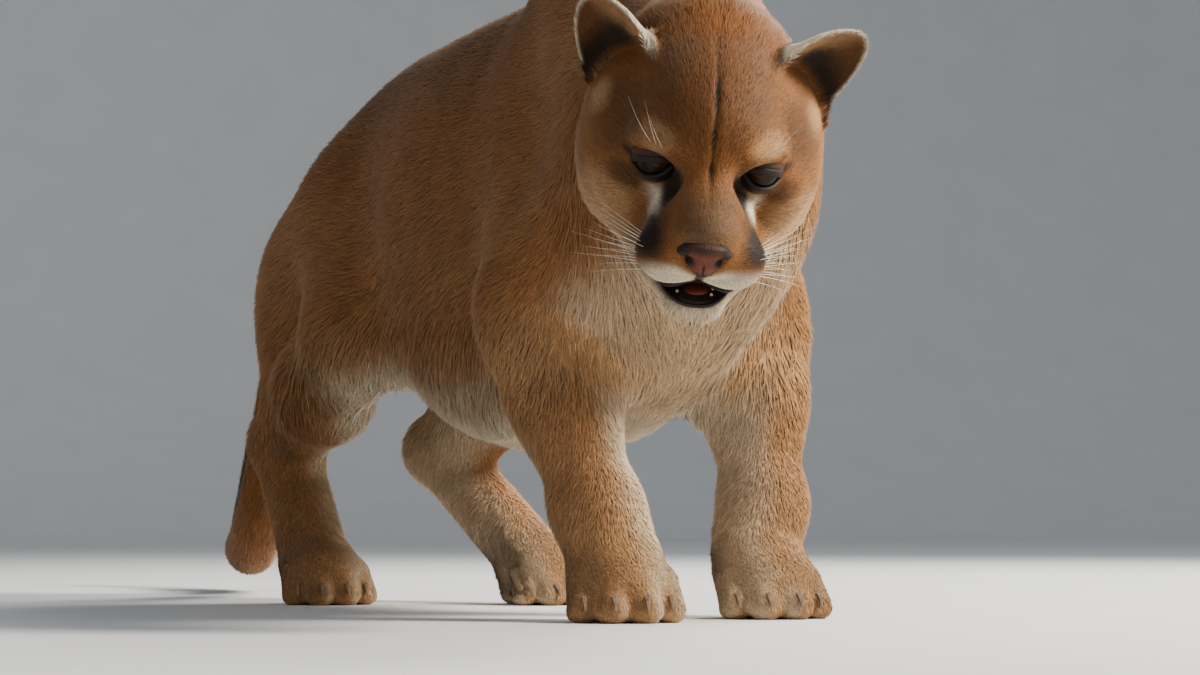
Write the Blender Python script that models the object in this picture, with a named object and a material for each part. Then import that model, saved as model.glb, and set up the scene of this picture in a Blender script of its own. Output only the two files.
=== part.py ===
"""A life-size model of an adult male cougar in a low, head-down stalking stance.

Metres, +Z up. The animal faces -Y, its own left side is +X, and its feet rest on flats at z = 0.
The flesh is one smooth union of tapered capsules, ellipsoids and a trunk drawn through stations.
That surface is meshed whole, thinned to few faces, and parted into named nodes with thin cuts.
"""

import math

import bmesh
import bpy
import numpy as np
import openvdb
from mathutils import Euler, Matrix, Vector

# Meshing and cutting
CELL = 0.0035  # lattice step of the whole surface
BLOCK = 4  # lattice points along the side of a block that is skipped when far from the surface
BODY_FACES = 7800  # triangles left in the thinned surface
DETAIL = 1.6e-5  # how much dearer a face is to lose on the head and the feet
SEAT_GAP = 0.00025  # how much wider a seat is cut than what sits in it, all around
HOCK_CUT = 0.162  # height of the cut across each shank
TAIL_CUTS = (0.22, 0.46, 0.72)
EAR_CUT = 9.0  # millimetres from the middle of an ear's root to the cut that parts it
HALF_GAP = 0.00017  # half of the gap that touching nodes keep
CHUNK = 60000  # points per call, which keeps the arrays in the processor's cache

# Colour and roughness by what a node's name starts with
COLOURS = {
    "head": ((0.36, 0.19, 0.09), 0.85),
    "neck": ((0.40, 0.21, 0.10), 0.85),
    "torso": ((0.37, 0.19, 0.09), 0.85),
    "tail_end": ((0.10, 0.06, 0.04), 0.85),
    "tail": ((0.34, 0.18, 0.09), 0.85),
    "fore": ((0.46, 0.26, 0.13), 0.85),
    "hind": ((0.44, 0.27, 0.15), 0.85),
    "ear": ((0.30, 0.17, 0.09), 0.85),
    "eye": ((0.20, 0.13, 0.05), 0.12),
    "lid": ((0.03, 0.02, 0.015), 0.5),
    "nose": ((0.32, 0.11, 0.08), 0.45),
    "lip": ((0.03, 0.02, 0.018), 0.4),
    "canine": ((0.75, 0.66, 0.48), 0.3),
    "tongue": ((0.42, 0.13, 0.10), 0.4),
    "claw": ((0.12, 0.09, 0.07), 0.4),
}

# The frame: where the point on the floor between the forepaws lies from the origin
FRONT_X, FRONT_Y = 0.0086, -0.468


def placed(x, y, z):
    """A point measured from the spot on the floor between the forepaws, in the part's frame."""
    return Vector((x + FRONT_X, y + FRONT_Y, z))


# The trunk: stations along Y as (y, top, bottom, half width), coat included
TRUNK = (
    (-0.098, 0.385, 0.300, 0.030),
    (-0.078, 0.420, 0.255, 0.056),
    (-0.030, 0.462, 0.205, 0.070),
    (0.040, 0.500, 0.168, 0.080),
    (0.130, 0.505, 0.140, 0.099),
    (0.240, 0.496, 0.122, 0.114),
    (0.340, 0.490, 0.136, 0.116),
    (0.420, 0.486, 0.168, 0.101),
    (0.500, 0.482, 0.202, 0.084),
    (0.580, 0.468, 0.234, 0.076),
    (0.655, 0.438, 0.258, 0.068),
    (0.706, 0.408, 0.290, 0.052),
    (0.738, 0.384, 0.328, 0.030),
)

# Joints of each leg, from its root to its foot, and the way that the foot points
FORELEGS = {
    "right": dict(
        blade=(-0.042, 0.110, 0.488),
        shoulder=(-0.054, -0.025, 0.350),
        elbow=(-0.089, 0.090, 0.232),
        wrist=(-0.067, 0.026, 0.082),
        foot=(-0.062, -0.006),
        heading=-16.0,
    ),
    "left": dict(
        blade=(0.030, 0.135, 0.488),
        shoulder=(0.040, 0.010, 0.346),
        elbow=(0.101, 0.116, 0.236),
        wrist=(0.090, 0.066, 0.085),
        foot=(0.077, 0.036),
        heading=-10.0,
    ),
}
HINDLEGS = {
    "right": dict(
        hip=(-0.050, 0.596, 0.346),
        knee=(-0.104, 0.436, 0.222),
        hock=(-0.100, 0.642, 0.142),
        foot=(-0.096, 0.546),
        heading=-8.0,
    ),
    "left": dict(
        hip=(0.050, 0.596, 0.346),
        knee=(0.104, 0.445, 0.236),
        hock=(0.038, 0.612, 0.135),
        foot=(0.074, 0.466),
        heading=8.0,
    ),
}

# The tail's route from its root, and its radius there, coat included
TAIL = (
    (0.000, 0.685, 0.380, 0.042),
    (-0.006, 0.745, 0.348, 0.035),
    (-0.022, 0.786, 0.285, 0.031),
    (-0.040, 0.806, 0.205, 0.029),
    (-0.046, 0.832, 0.125, 0.028),
    (-0.040, 0.892, 0.066, 0.027),
    (-0.018, 0.982, 0.044, 0.027),
    (0.014, 1.072, 0.050, 0.027),
    (0.046, 1.150, 0.088, 0.026),
    (0.064, 1.196, 0.142, 0.020),
)

# The head: its place, and how it is turned to its right, pitched down and rolled, in degrees
HEAD_AT = (-0.0843, -0.190, 0.3185)
HEAD_TURN, HEAD_PITCH, HEAD_ROLL = -24.5, 37.0, 7.5
MM = 0.001
EYE_AT, EYE_RADIUS = (0.0345, -0.0325, 0.0205), 0.0150  # of the animal's left eye, in head space

LID_RISE = (24.0, 20.0)  # degrees that the upper and the lower lid stand open

# The left ear in head space, millimetres: the middle of its root, its rise and the way it opens
EAR_AT = (63.0, 42.0, 47.0)
EAR_LENGTH, EAR_HALF, EAR_DEPTH, EAR_THICK = 55.0, 27.0, 20.0, 6.5
# Each ear's way up and the way that its cup opens, as if on the left; the left one is turned lower
EAR_UPS = {-1: Vector((0.50, 0.02, 0.866)).normalized(), 1: Vector((0.68, 0.02, 0.733)).normalized()}
EAR_OPENS = Vector((0.30, -0.95, 0.0))


def ear_axes(side):
    """Rows: up, sideways and front of an ear, in head space as if on the left."""
    up = EAR_UPS[side]
    front = (EAR_OPENS - EAR_OPENS.dot(up) * up).normalized()
    return np.array([up, up.cross(front), front], np.float32)


EAR_AXES = {side: ear_axes(side) for side in (-1, 1)}


def head_matrix():
    """Head space (x to its left, y to the back, z up, metres) to the part's frame."""
    turned = Euler((0.0, 0.0, math.radians(HEAD_TURN))).to_matrix()
    pitched = Euler((math.radians(HEAD_PITCH), 0.0, 0.0)).to_matrix()
    rolled = Euler((0.0, math.radians(HEAD_ROLL), 0.0)).to_matrix()
    return Matrix.Translation(placed(*HEAD_AT)) @ (turned @ pitched @ rolled).to_4x4()


def blend(a, b, reach):
    """Smooth union of two distances: the lesser, lowered where they differ by less than reach."""
    near = np.maximum(reach - np.abs(a - b), 0.0)
    return np.minimum(a, b) - near * near / (4.0 * reach)


def carve(a, b, reach):
    """Smooth difference: distance a with the shape of distance b taken away."""
    return -blend(-a, b, reach)


def ellipsoid(p, centre, radii, turn=None):
    """Distance to an ellipsoid, close to true near its surface. turn holds its axes as columns."""
    q = p - np.asarray(centre, np.float32)
    if turn is not None:
        q = q @ np.asarray(turn, np.float32)
    unit = q / np.asarray(radii, np.float32)
    once = np.sqrt((unit * unit).sum(1))
    twice = unit / np.asarray(radii, np.float32)
    return once * (once - 1.0) / np.maximum(np.sqrt((twice * twice).sum(1)), 1e-6)


def capsule(p, a, b, start, end, wide=1.0, across=(1.0, 0.0, 0.0)):
    """Distance to a tapered capsule from a to b. Its section is wide times as wide along across."""
    a, b = (np.asarray(v, np.float32) for v in (a, b))
    along = b - a
    share = np.clip((p - a) @ along / (along @ along), 0.0, 1.0)
    off = p - a - share[:, None] * along
    if wide != 1.0:
        side = np.asarray(across, np.float32)
        off = off - np.outer(off @ side, side * (1.0 - 1.0 / wide))
    radius = start + (end - start) * share
    return (np.sqrt((off * off).sum(1)) - radius) * min(1.0, wide) ** 0.5


def between(a, b, share):
    """The point that share of the way from a to b."""
    return tuple(np.asarray(a, float) * (1.0 - share) + np.asarray(b, float) * share)


def shifted(a, x=0.0, y=0.0, z=0.0):
    return (a[0] + x, a[1] + y, a[2] + z)


def smooth_table(rows, count=160):
    """Rows of numbers, the first one rising, drawn out to count rows along Catmull-Rom curves."""
    rows = np.asarray(rows, float)
    ends = np.vstack([2 * rows[0] - rows[1], rows, 2 * rows[-1] - rows[-2]])
    t = np.linspace(0.0, len(rows) - 1.0001, count)
    k, f = t.astype(int), (t % 1.0)[:, None]
    a, b, c, d = (ends[k + i] for i in range(4))
    return 0.5 * (
        2 * b + (c - a) * f + (2 * a - 5 * b + 4 * c - d) * f**2 + (3 * b - a - 3 * c + d) * f**3
    )


TRUNK_CURVES = smooth_table(TRUNK)
TRUNK_SLOPES = np.gradient(TRUNK_CURVES[:, 3] + (TRUNK_CURVES[:, 1] - TRUNK_CURVES[:, 2]) / 2)
TRUNK_SLOPES = np.clip(TRUNK_SLOPES / np.gradient(TRUNK_CURVES[:, 0]) / 2, -1.5, 1.5)
TAIL_ROUTE = smooth_table(TAIL, 36)


def trunk(p):
    """Distance to the trunk: at each y an egg whose top, bottom and width the stations give."""
    y = np.clip(p[:, 1], TRUNK_CURVES[0, 0], TRUNK_CURVES[-1, 0])
    top, bottom, half = (np.interp(y, TRUNK_CURVES[:, 0], TRUNK_CURVES[:, i]) for i in (1, 2, 3))
    tall = (top - bottom) / 2
    slope = np.interp(y, TRUNK_CURVES[:, 0], TRUNK_SLOPES)
    z = (p[:, 2] - (top + bottom) / 2) / tall
    x = p[:, 0] / (half * (1.0 - 0.12 * np.clip(z, -1.0, 1.0)))
    size = (np.abs(x) ** 2.2 + np.abs(z) ** 2.2) ** (1 / 2.2)
    reach = np.hypot(p[:, 0], p[:, 2] - (top + bottom) / 2)
    side = reach * (1.0 - 1.0 / np.maximum(size, 0.05)) / np.sqrt(1.0 + slope**2)
    beyond = np.abs(p[:, 1] - y)
    return np.hypot(np.maximum(side, 0.0), beyond) + np.minimum(side, 0.0)


def foot(p, at, heading, size):
    """Distance to a paw: a low mound, four toes in an arc, and the pad behind them."""
    turn = math.radians(heading)
    c, s = math.cos(turn), math.sin(turn)
    q = np.empty_like(p)
    x, y = p[:, 0] - at[0], p[:, 1] - at[1]
    q[:, 0], q[:, 1], q[:, 2] = (c * x + s * y) / size, (-s * x + c * y) / size, p[:, 2] / size
    d = ellipsoid(q, (0.0, 0.004, 0.029), (0.037, 0.046, 0.030))
    d = blend(d, ellipsoid(q, (0.0, 0.018, 0.011), (0.026, 0.026, 0.016)), 0.010)
    for side in (-1, 1):
        for x, y, r in ((0.0112, -0.0400, 0.0142), (0.0300, -0.0260, 0.0134)):
            knuckle = (side * x * 0.94, y + 0.020, 0.0275)
            tip = (side * x * 1.06, y, 0.0105)
            d = blend(d, capsule(q, knuckle, tip, r * 1.04, r * 0.92), 0.0075)
    return d * size


def foreleg(p, j):
    """Distance to a foreleg: shoulder blade, upper arm, forearm, wrist and paw."""
    side = math.copysign(1.0, j["elbow"][0])
    blade, shoulder, elbow, wrist = (j[k] for k in ("blade", "shoulder", "elbow", "wrist"))
    ankle = (j["foot"][0], j["foot"][1] + 0.016, 0.052)
    d = capsule(p, blade, shoulder, 0.036, 0.052, 0.72)
    d = blend(d, capsule(p, shifted(blade, y=0.030, z=-0.07), shifted(elbow, z=0.02), 0.050, 0.044, 0.72), 0.04)
    d = blend(d, capsule(p, shoulder, shifted(elbow, z=0.005), 0.050, 0.043, 0.84), 0.035)
    d = blend(d, capsule(p, elbow, between(elbow, wrist, 0.45), 0.043, 0.0385), 0.025)
    d = blend(d, capsule(p, shifted(elbow, x=0.006 * side, y=-0.012, z=-0.02), between(elbow, wrist, 0.6), 0.036, 0.031), 0.02)
    d = blend(d, capsule(p, between(elbow, wrist, 0.4), wrist, 0.0365, 0.0315), 0.02)
    d = blend(d, capsule(p, wrist, ankle, 0.0320, 0.0330, 1.08), 0.02)
    d = blend(d, ellipsoid(p, shifted(wrist, y=0.024, z=-0.012), (0.013, 0.012, 0.014)), 0.014)
    d = blend(d, ellipsoid(p, (wrist[0] - 0.030 * side, wrist[1] - 0.004, 0.058), (0.011, 0.013, 0.018)), 0.012)
    return blend(d, foot(p, j["foot"], j["heading"], 1.0), 0.016)


def hindleg(p, j):
    """Distance to a hind leg: thigh, knee, shank, hock, long foot and toes."""
    side = math.copysign(1.0, j["hip"][0])
    hip, knee, hock = (j[k] for k in ("hip", "knee", "hock"))
    ball = (j["foot"][0], j["foot"][1] + 0.026, 0.042)
    buttock = shifted(hip, x=0.010 * side, y=0.072, z=-0.052)
    calf = between(knee, hock, 0.45)
    d = capsule(p, shifted(hip, y=-0.02), shifted(knee, y=0.012, z=0.016), 0.062, 0.050, 0.86)
    d = blend(d, capsule(p, buttock, shifted(between(knee, hock, 0.74), y=0.01, z=0.032), 0.050, 0.038, 0.84), 0.05)
    d = blend(d, ellipsoid(p, shifted(hip, x=0.020 * side, y=0.020, z=-0.080), (0.050, 0.095, 0.090)), 0.045)
    d = blend(d, capsule(p, knee, calf, 0.046, 0.044, 0.9), 0.03)
    d = blend(d, capsule(p, calf, between(knee, hock, 0.86), 0.044, 0.0310, 0.9), 0.03)
    d = blend(d, capsule(p, between(knee, hock, 0.75), hock, 0.032, 0.0290), 0.02)
    d = blend(d, ellipsoid(p, shifted(hock, y=0.012, z=0.004), (0.021, 0.024, 0.024)), 0.016)
    d = blend(d, capsule(p, hock, ball, 0.0295, 0.0300, 1.05), 0.02)
    return blend(d, foot(p, j["foot"], j["heading"], 0.95), 0.016)


def tail(p):
    """Distance to the tail: the least over short tapered lengths of its route."""
    d = np.full(len(p), 9.0, np.float32)
    for a, b in zip(TAIL_ROUTE[:-1], TAIL_ROUTE[1:]):
        d = np.minimum(d, capsule(p, a[:3], b[:3], a[3], b[3]))
    return d


def skull(q):
    """Distance to the head in head space, in metres. Both sides come from the distance to x = 0."""
    m = q.copy()
    m[:, 0] = np.abs(m[:, 0])

    def lump(x, y, z, rx, ry, rz, turn=None):
        return ellipsoid(m, (x * MM, y * MM, z * MM), (rx * MM, ry * MM, rz * MM), turn)

    def bar(a, b, ra, rb, wide=1.0):
        ends = [tuple(v * MM for v in end) for end in (a, b)]
        return capsule(m, *ends, ra * MM, rb * MM, wide)

    d = lump(0, 46, 26, 62, 80, 56)  # brain case with its muscles
    d = blend(d, lump(0, -10, 36, 47, 50, 38), 30 * MM)  # forehead
    d = blend(d, lump(46, 44, 16, 36, 46, 34), 26 * MM)  # temple below the ear
    d = blend(d, bar((20, -40, 41), (44, -26, 34), 11, 10), 14 * MM)  # brow ridge
    d = blend(d, lump(45, 8, -6, 37, 50, 32), 24 * MM)  # cheekbone
    d = blend(d, lump(46, 46, -28, 39, 44, 42), 26 * MM)  # jaw muscle and ruff
    d = blend(d, bar((0, -44, 18), (0, -94, 3), 25, 18, 1.18), 18 * MM)  # bridge of the nose
    d = blend(d, lump(0, -66, -12, 37, 44, 28), 18 * MM)  # muzzle
    d = blend(d, lump(21, -87, -19, 23.5, 25, 19.5), 8 * MM)  # whisker pad
    d = blend(d, bar((0, -96, 0), (0, -107.5, -7), 15, 11, 1.2), 9 * MM)  # nose
    d = blend(d, bar((0, -90, -57), (0, -58, -49), 14, 22, 1.62), 12 * MM)  # chin
    d = blend(d, bar((26, -56, -36), (46, 14, -38), 16, 28), 22 * MM)  # lower jaw
    d = blend(d, lump(0, 0, -38, 40, 60, 30), 24 * MM)  # throat
    d = blend(d, bar((21, -50, 37), (49, -36, 35), 6, 5), 7 * MM)  # brow above the eye
    d = carve(d, lump(36, -57, 18, 18, 14, 10), 14 * MM)  # socket
    d = carve(d, lump(0, -92, -43, 26, 32, 5.8), 3 * MM)  # mouth, a little open
    return blend(d, ear(m, q[:, 0] > 0), 7 * MM)


def ear(m, is_left):
    """Distance to an ear: a cupped sheet cut to a rounded leaf, which opens forward and outward."""
    q = m - np.array(EAR_AT, np.float32) * np.float32(MM)
    q = np.where(is_left[:, None], q @ EAR_AXES[1].T, q @ EAR_AXES[-1].T) / np.float32(MM)
    a, s, f = q[:, 0], q[:, 1], q[:, 2]
    rise = np.clip(a / EAR_LENGTH, -0.4, 1.2)
    depth = EAR_DEPTH * (1.0 - 0.62 * rise)
    bowl = -depth * (1.0 - (s / EAR_HALF) ** 2) + 5.0 * np.maximum(rise, 0.0) ** 2
    slope = np.sqrt(1.0 + (2.0 * depth * s / EAR_HALF**2) ** 2)
    sheet = np.abs(f - bowl) / slope - (EAR_THICK - 1.0 * np.clip(rise, 0.0, 1.0)) / 2
    swell = 1.0 - 0.10 * np.clip(-rise, 0.0, 1.0)
    leaf = np.sqrt((s / (EAR_HALF * swell)) ** 2 + (np.maximum(a, 0.0) / EAR_LENGTH) ** 2)
    edge = (leaf - 1.0) * EAR_HALF
    return -blend(-np.maximum(sheet, -a - 16.0), -edge, 2.0) * np.float32(MM)


HEAD = head_matrix()
HEAD_INVERSE = np.array(HEAD.inverted(), np.float32)


def to_head(p):
    return p @ HEAD_INVERSE[:3, :3].T + HEAD_INVERSE[:3, 3]


def in_part(point_mm):
    """A point of head space in millimetres, in the part's frame."""
    return HEAD @ (Vector(point_mm) * MM)


def neck(p):
    """Distance to the neck: from the back of the head to the withers and down the throat to the chest."""
    nape = tuple(in_part((0, 82, 12)) - placed(0, 0, 0))
    low = tuple(in_part((0, 62, -28)) - placed(0, 0, 0))
    d = capsule(p, nape, (-0.018, 0.030, 0.412), 0.066, 0.078, 0.92)
    d = blend(d, capsule(p, low, (-0.006, -0.020, 0.318), 0.060, 0.080, 0.90), 0.05)
    return blend(d, capsule(p, (-0.016, 0.000, 0.448), (0.0, 0.115, 0.474), 0.046, 0.044, 0.9), 0.05)


def flesh(points):
    """Distance to the whole animal, coat included. Inside is below zero."""
    p = points - np.array(placed(0, 0, 0), np.float32)
    d = trunk(p)
    d = blend(d, neck(p), 0.05)
    for legs, of_leg in ((FORELEGS, foreleg), (HINDLEGS, hindleg)):
        for joints in legs.values():
            inner = np.copysign(0.03, joints["foot"][0])
            near = (p[:, 0] - inner * -1 / 2) * inner > -0.002
            reach = 0.045 if of_leg is foreleg else 0.05
            d[near] = blend(d[near], of_leg(p[near], joints), reach)
    d = blend(d, tail(p), 0.03)
    near = p[:, 1] < 0.06
    d[near] = blend(d[near], skull(to_head(points[near])), 0.035)
    return d


def in_chunks(points):
    return np.concatenate(
        [flesh(points[i : i + CHUNK]) for i in range(0, len(points), CHUNK)]
    )


def whole_surface(low, high, cell):
    """Vertices and quads of flesh = 0. Blocks far from the surface take their middle's value."""
    blocks = np.ceil((np.array(high) - low) / (cell * BLOCK)).astype(int)
    axes = [low[i] + (np.arange(blocks[i]) * BLOCK + (BLOCK - 1) / 2) * cell for i in range(3)]
    middles = np.stack(np.meshgrid(*axes, indexing="ij"), -1).reshape(-1, 3).astype(np.float32)
    values = in_chunks(middles)
    full = np.repeat(values[:, None], BLOCK**3, 1)
    near = np.abs(values) < cell * BLOCK * 1.5
    step = (np.arange(BLOCK) - (BLOCK - 1) / 2) * cell
    offsets = np.stack(np.meshgrid(step, step, step, indexing="ij"), -1).reshape(-1, 3)
    fine = (middles[near][:, None, :] + offsets.astype(np.float32)).reshape(-1, 3)
    full[near] = in_chunks(fine).reshape(-1, BLOCK**3)
    lattice = full.reshape(*blocks, BLOCK, BLOCK, BLOCK).transpose(0, 3, 1, 4, 2, 5)
    lattice = np.ascontiguousarray(lattice.reshape(blocks * BLOCK), np.float32)
    grid = openvdb.FloatGrid(background=float(cell * 3))
    grid.copyFromArray(lattice)
    points, quads = grid.convertToQuads(isovalue=0.0)
    return points * cell + np.array(low), quads[:, ::-1]


def settled(points):
    """Points moved onto flesh = 0, by two steps along its slope."""
    p = points.astype(np.float32)
    h = np.float32(0.0006)
    for _ in range(2):
        d = in_chunks(p)
        slope = np.stack([in_chunks(p + h * axis) - d for axis in np.eye(3, dtype=np.float32)], 1) / h
        p = p - slope * (d / np.maximum((slope * slope).sum(1), 0.2))[:, None]
    return p


def mesh_object(name, points, faces):
    mesh = bpy.data.meshes.new(name)
    mesh.from_pydata(np.asarray(points).tolist(), [], np.asarray(faces).tolist())
    made = bpy.data.objects.new(name, mesh)
    bpy.context.scene.collection.objects.link(made)
    return made


def apply_modifiers(thing):
    """Replace an object's mesh by what its modifiers make of it."""
    graph = bpy.context.evaluated_depsgraph_get()
    made = bpy.data.meshes.new_from_object(thing.evaluated_get(graph))
    thing.modifiers.clear()
    thing.data = made


def thinned(thing, faces):
    """Collapse to that many triangles, keeping more of them on the face, the ears and the feet."""
    points = np.empty(len(thing.data.vertices) * 3, np.float32)
    thing.data.vertices.foreach_get("co", points)
    points = points.reshape(-1, 3)
    m = to_head(points) / np.float32(MM)
    p = points - np.array(placed(0, 0, 0), np.float32)
    face = np.clip((20.0 - m[:, 1]) / 50.0, 0.0, 1.0) * (p[:, 1] < 0.02)
    fine = np.clip(np.maximum(face, np.clip((0.07 - p[:, 2]) / 0.03, 0.0, 0.45) * (p[:, 1] < 0.66)), 0.0, 1.0)
    group = thing.vertex_groups.new(name="coarse")
    levels = np.round((1.0 - fine) * 10).astype(int).clip(1, 10)
    for level in range(1, 11):
        group.add(np.flatnonzero(levels == level).tolist(), level / 10.0, "REPLACE")
    thin = thing.modifiers.new("thin", "DECIMATE")
    thin.ratio = faces / (2 * len(thing.data.polygons))
    thin.vertex_group = group.name
    thin.vertex_group_factor = DETAIL
    apply_modifiers(thing)


def ring_around(bm, point, n):
    """The faces that cross a plane through point in one closed ring, the ring nearest to point."""
    height = {v: (v.co - point).dot(n) for v in bm.verts}
    crossed = {
        f
        for f in bm.faces
        if min(height[v] for v in f.verts) < 0.0 < max(height[v] for v in f.verts)
    }
    best, least = None, 9.0
    while crossed:
        start = crossed.pop()
        ring, edge, spread = {start}, [start], []
        while edge:
            for e in edge.pop().edges:
                a, b = (height[v] for v in e.verts)
                if a * b < 0.0:
                    spread.append((e.verts[0].co.lerp(e.verts[1].co, a / (a - b)) - point).length)
                    for f in e.link_faces:
                        if f in crossed:
                            crossed.discard(f)
                            ring.add(f)
                            edge.append(f)
        if spread and sum(spread) / len(spread) < least:
            best, least = (ring, max(spread)), sum(spread) / len(spread)
    return best


def part_at(bm, point, normal):
    """Part the limb around point by a thin cut on a plane, and close both of its faces."""
    n = normal.normalized()
    for sign in (1, -1):
        faces, reach = ring_around(bm, point + n * sign * HALF_GAP, n)
        edges = {e for f in faces for e in f.edges}
        verts = {v for f in faces for v in f.verts}
        bmesh.ops.bisect_plane(
            bm,
            geom=list(faces) + list(edges) + list(verts),
            dist=1e-7,
            plane_co=point + n * sign * HALF_GAP,
            plane_no=n,
        )
    between_cuts = [
        f
        for f in bm.faces
        if max(abs((v.co - point).dot(n)) for v in f.verts) < HALF_GAP * 1.01
        and (f.calc_center_median() - point).length < reach * 1.1
    ]
    bmesh.ops.delete(bm, geom=between_cuts, context="FACES")
    for sign in (1, -1):
        rim = [
            e
            for e in bm.edges
            if e.is_boundary
            and all(abs((v.co - point).dot(n) - sign * HALF_GAP) < 1e-5 for v in e.verts)
        ]
        bmesh.ops.triangle_fill(bm, use_beauty=True, use_dissolve=False, edges=rim, normal=-n * sign)


def stand_on_floor(bm):
    """Cut the soles flat at z = 0."""
    geom = list(bm.verts) + list(bm.edges) + list(bm.faces)
    floor = (Vector((0, 0, 0)), Vector((0, 0, -1)))
    bmesh.ops.bisect_plane(
        bm, geom=geom, dist=1e-7, plane_co=floor[0], plane_no=floor[1], clear_outer=True
    )
    rim = [e for e in bm.edges if e.is_boundary]
    bmesh.ops.triangle_fill(bm, use_beauty=True, use_dissolve=False, edges=rim, normal=floor[1])


def cuts():
    """Every cut as (point inside the limb, normal)."""
    turn = HEAD.to_3x3()
    yield in_part((0, 66, -4)), turn @ Vector((-0.05, 1.0, -0.18))
    yield placed(0.0, -0.014, 0.400), Vector((0.0, 0.88, -0.42))
    for share in TAIL_CUTS:
        k = int(share * (len(TAIL_ROUTE) - 1))
        yield placed(*TAIL_ROUTE[k][:3]), Vector(TAIL_ROUTE[k + 1][:3] - TAIL_ROUTE[k][:3])
    for side, joints in ((-1, FORELEGS["right"]), (1, FORELEGS["left"])):
        x, y, z = between(joints["elbow"], joints["wrist"], 0.38)
        yield placed(x, y, z - 0.016), Vector((-side * 0.45, -0.10, 0.88))
        x, y, z = joints["wrist"]
        yield placed(x, y - 0.006, z - 0.016), Vector((0.0, -0.22, 0.97))
    for joints in (HINDLEGS["right"], HINDLEGS["left"]):
        x, y, z = between(joints["knee"], joints["hock"], 0.60)
        yield placed(x, y, HOCK_CUT), Vector((0.0, 0.0, 1.0))
        ball = (joints["foot"][0], joints["foot"][1] + 0.026, 0.042)
        yield placed(*between(joints["hock"], ball, 0.34)), Vector(joints["hock"]) - Vector(ball)
    for side in (-1, 1):
        x, y, z = EAR_AT
        n = Vector(EAR_AXES[side][0])
        n = (n + Vector((0.14, -0.06, -0.10))).normalized()
        n.x *= side
        yield in_part(Vector((side * x, y, z)) + n * EAR_CUT), turn @ n


def named_pieces(bm):
    """Split the parted surface into objects, each named after the place that it lies at."""
    places = {
        "torso": placed(0.0, 0.28, 0.32),
        "neck": placed(-0.03, -0.045, 0.39),
        "head": in_part((0, -10, 0)),
        "tail_end": placed(0.035, 1.10, 0.09),
        "tail_middle": placed(-0.02, 0.91, 0.09),
        "tail_root": placed(-0.044, 0.81, 0.21),
    }
    for side, name in ((-1, "right"), (1, "left")):
        fore, hind = FORELEGS[name], HINDLEGS[name]
        places["ear_" + name] = in_part((side * 76, 34, 72))
        places["foreleg_" + name] = placed(*between(fore["elbow"], fore["wrist"], 0.7))
        places["forepaw_" + name] = placed(*fore["foot"], 0.03)
        places["hindleg_" + name] = placed(*between(hind["knee"], hind["hock"], 0.8))
        places["hindpaw_" + name] = placed(*hind["foot"], 0.03)
    left = set(bm.faces)
    made = {}
    while left:
        start = left.pop()
        piece, edge = {start}, [start]
        while edge:
            for loop_edge in edge.pop().edges:
                for f in loop_edge.link_faces:
                    if f in left:
                        left.discard(f)
                        piece.add(f)
                        edge.append(f)
        verts = list({v for f in piece for v in f.verts})
        low = Vector([min(v.co[i] for v in verts) for i in range(3)])
        high = Vector([max(v.co[i] for v in verts) for i in range(3)])
        middle = (low + high) / 2
        name = min(places, key=lambda k: (places[k] - middle).length)
        number = {v: i for i, v in enumerate(verts)}
        faces = [[number[v] for v in f.verts] for f in piece]
        if name in made and len(made[name].data.polygons) > len(faces):
            continue
        if name in made:
            bpy.data.objects.remove(made[name])
        made[name] = mesh_object(name, [v.co for v in verts], faces)
        face_outward(made[name])
    return made


def face_outward(thing):
    bm = bmesh.new()
    bm.from_mesh(thing.data)
    bmesh.ops.recalc_face_normals(bm, faces=bm.faces)
    bm.to_mesh(thing.data)
    bm.free()


def sheet_solid(name, front, back):
    """A closed solid between two grids of points, front and back, joined around their rims."""
    rows, columns = front.shape[:2]
    index = np.arange(rows * columns).reshape(rows, columns)
    low, high = index[:-1, :-1], index[1:, 1:]
    quads = np.stack([low, index[:-1, 1:], high, index[1:, :-1]], -1).reshape(-1, 4)
    rim = np.concatenate([index[0, :-1], index[:-1, -1], index[-1, :0:-1], index[:0:-1, 0]])
    around = np.stack([rim, rim + rows * columns], 1)
    nexts = np.roll(around, -1, 0)
    wall = np.stack([around[:, 0], around[:, 1], nexts[:, 1], nexts[:, 0]], -1)
    faces = np.concatenate([quads, quads[:, ::-1] + rows * columns, wall])
    points = np.concatenate([front.reshape(-1, 3), back.reshape(-1, 3)])
    made = mesh_object(name, points, faces)
    face_outward(made)
    return made


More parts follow.
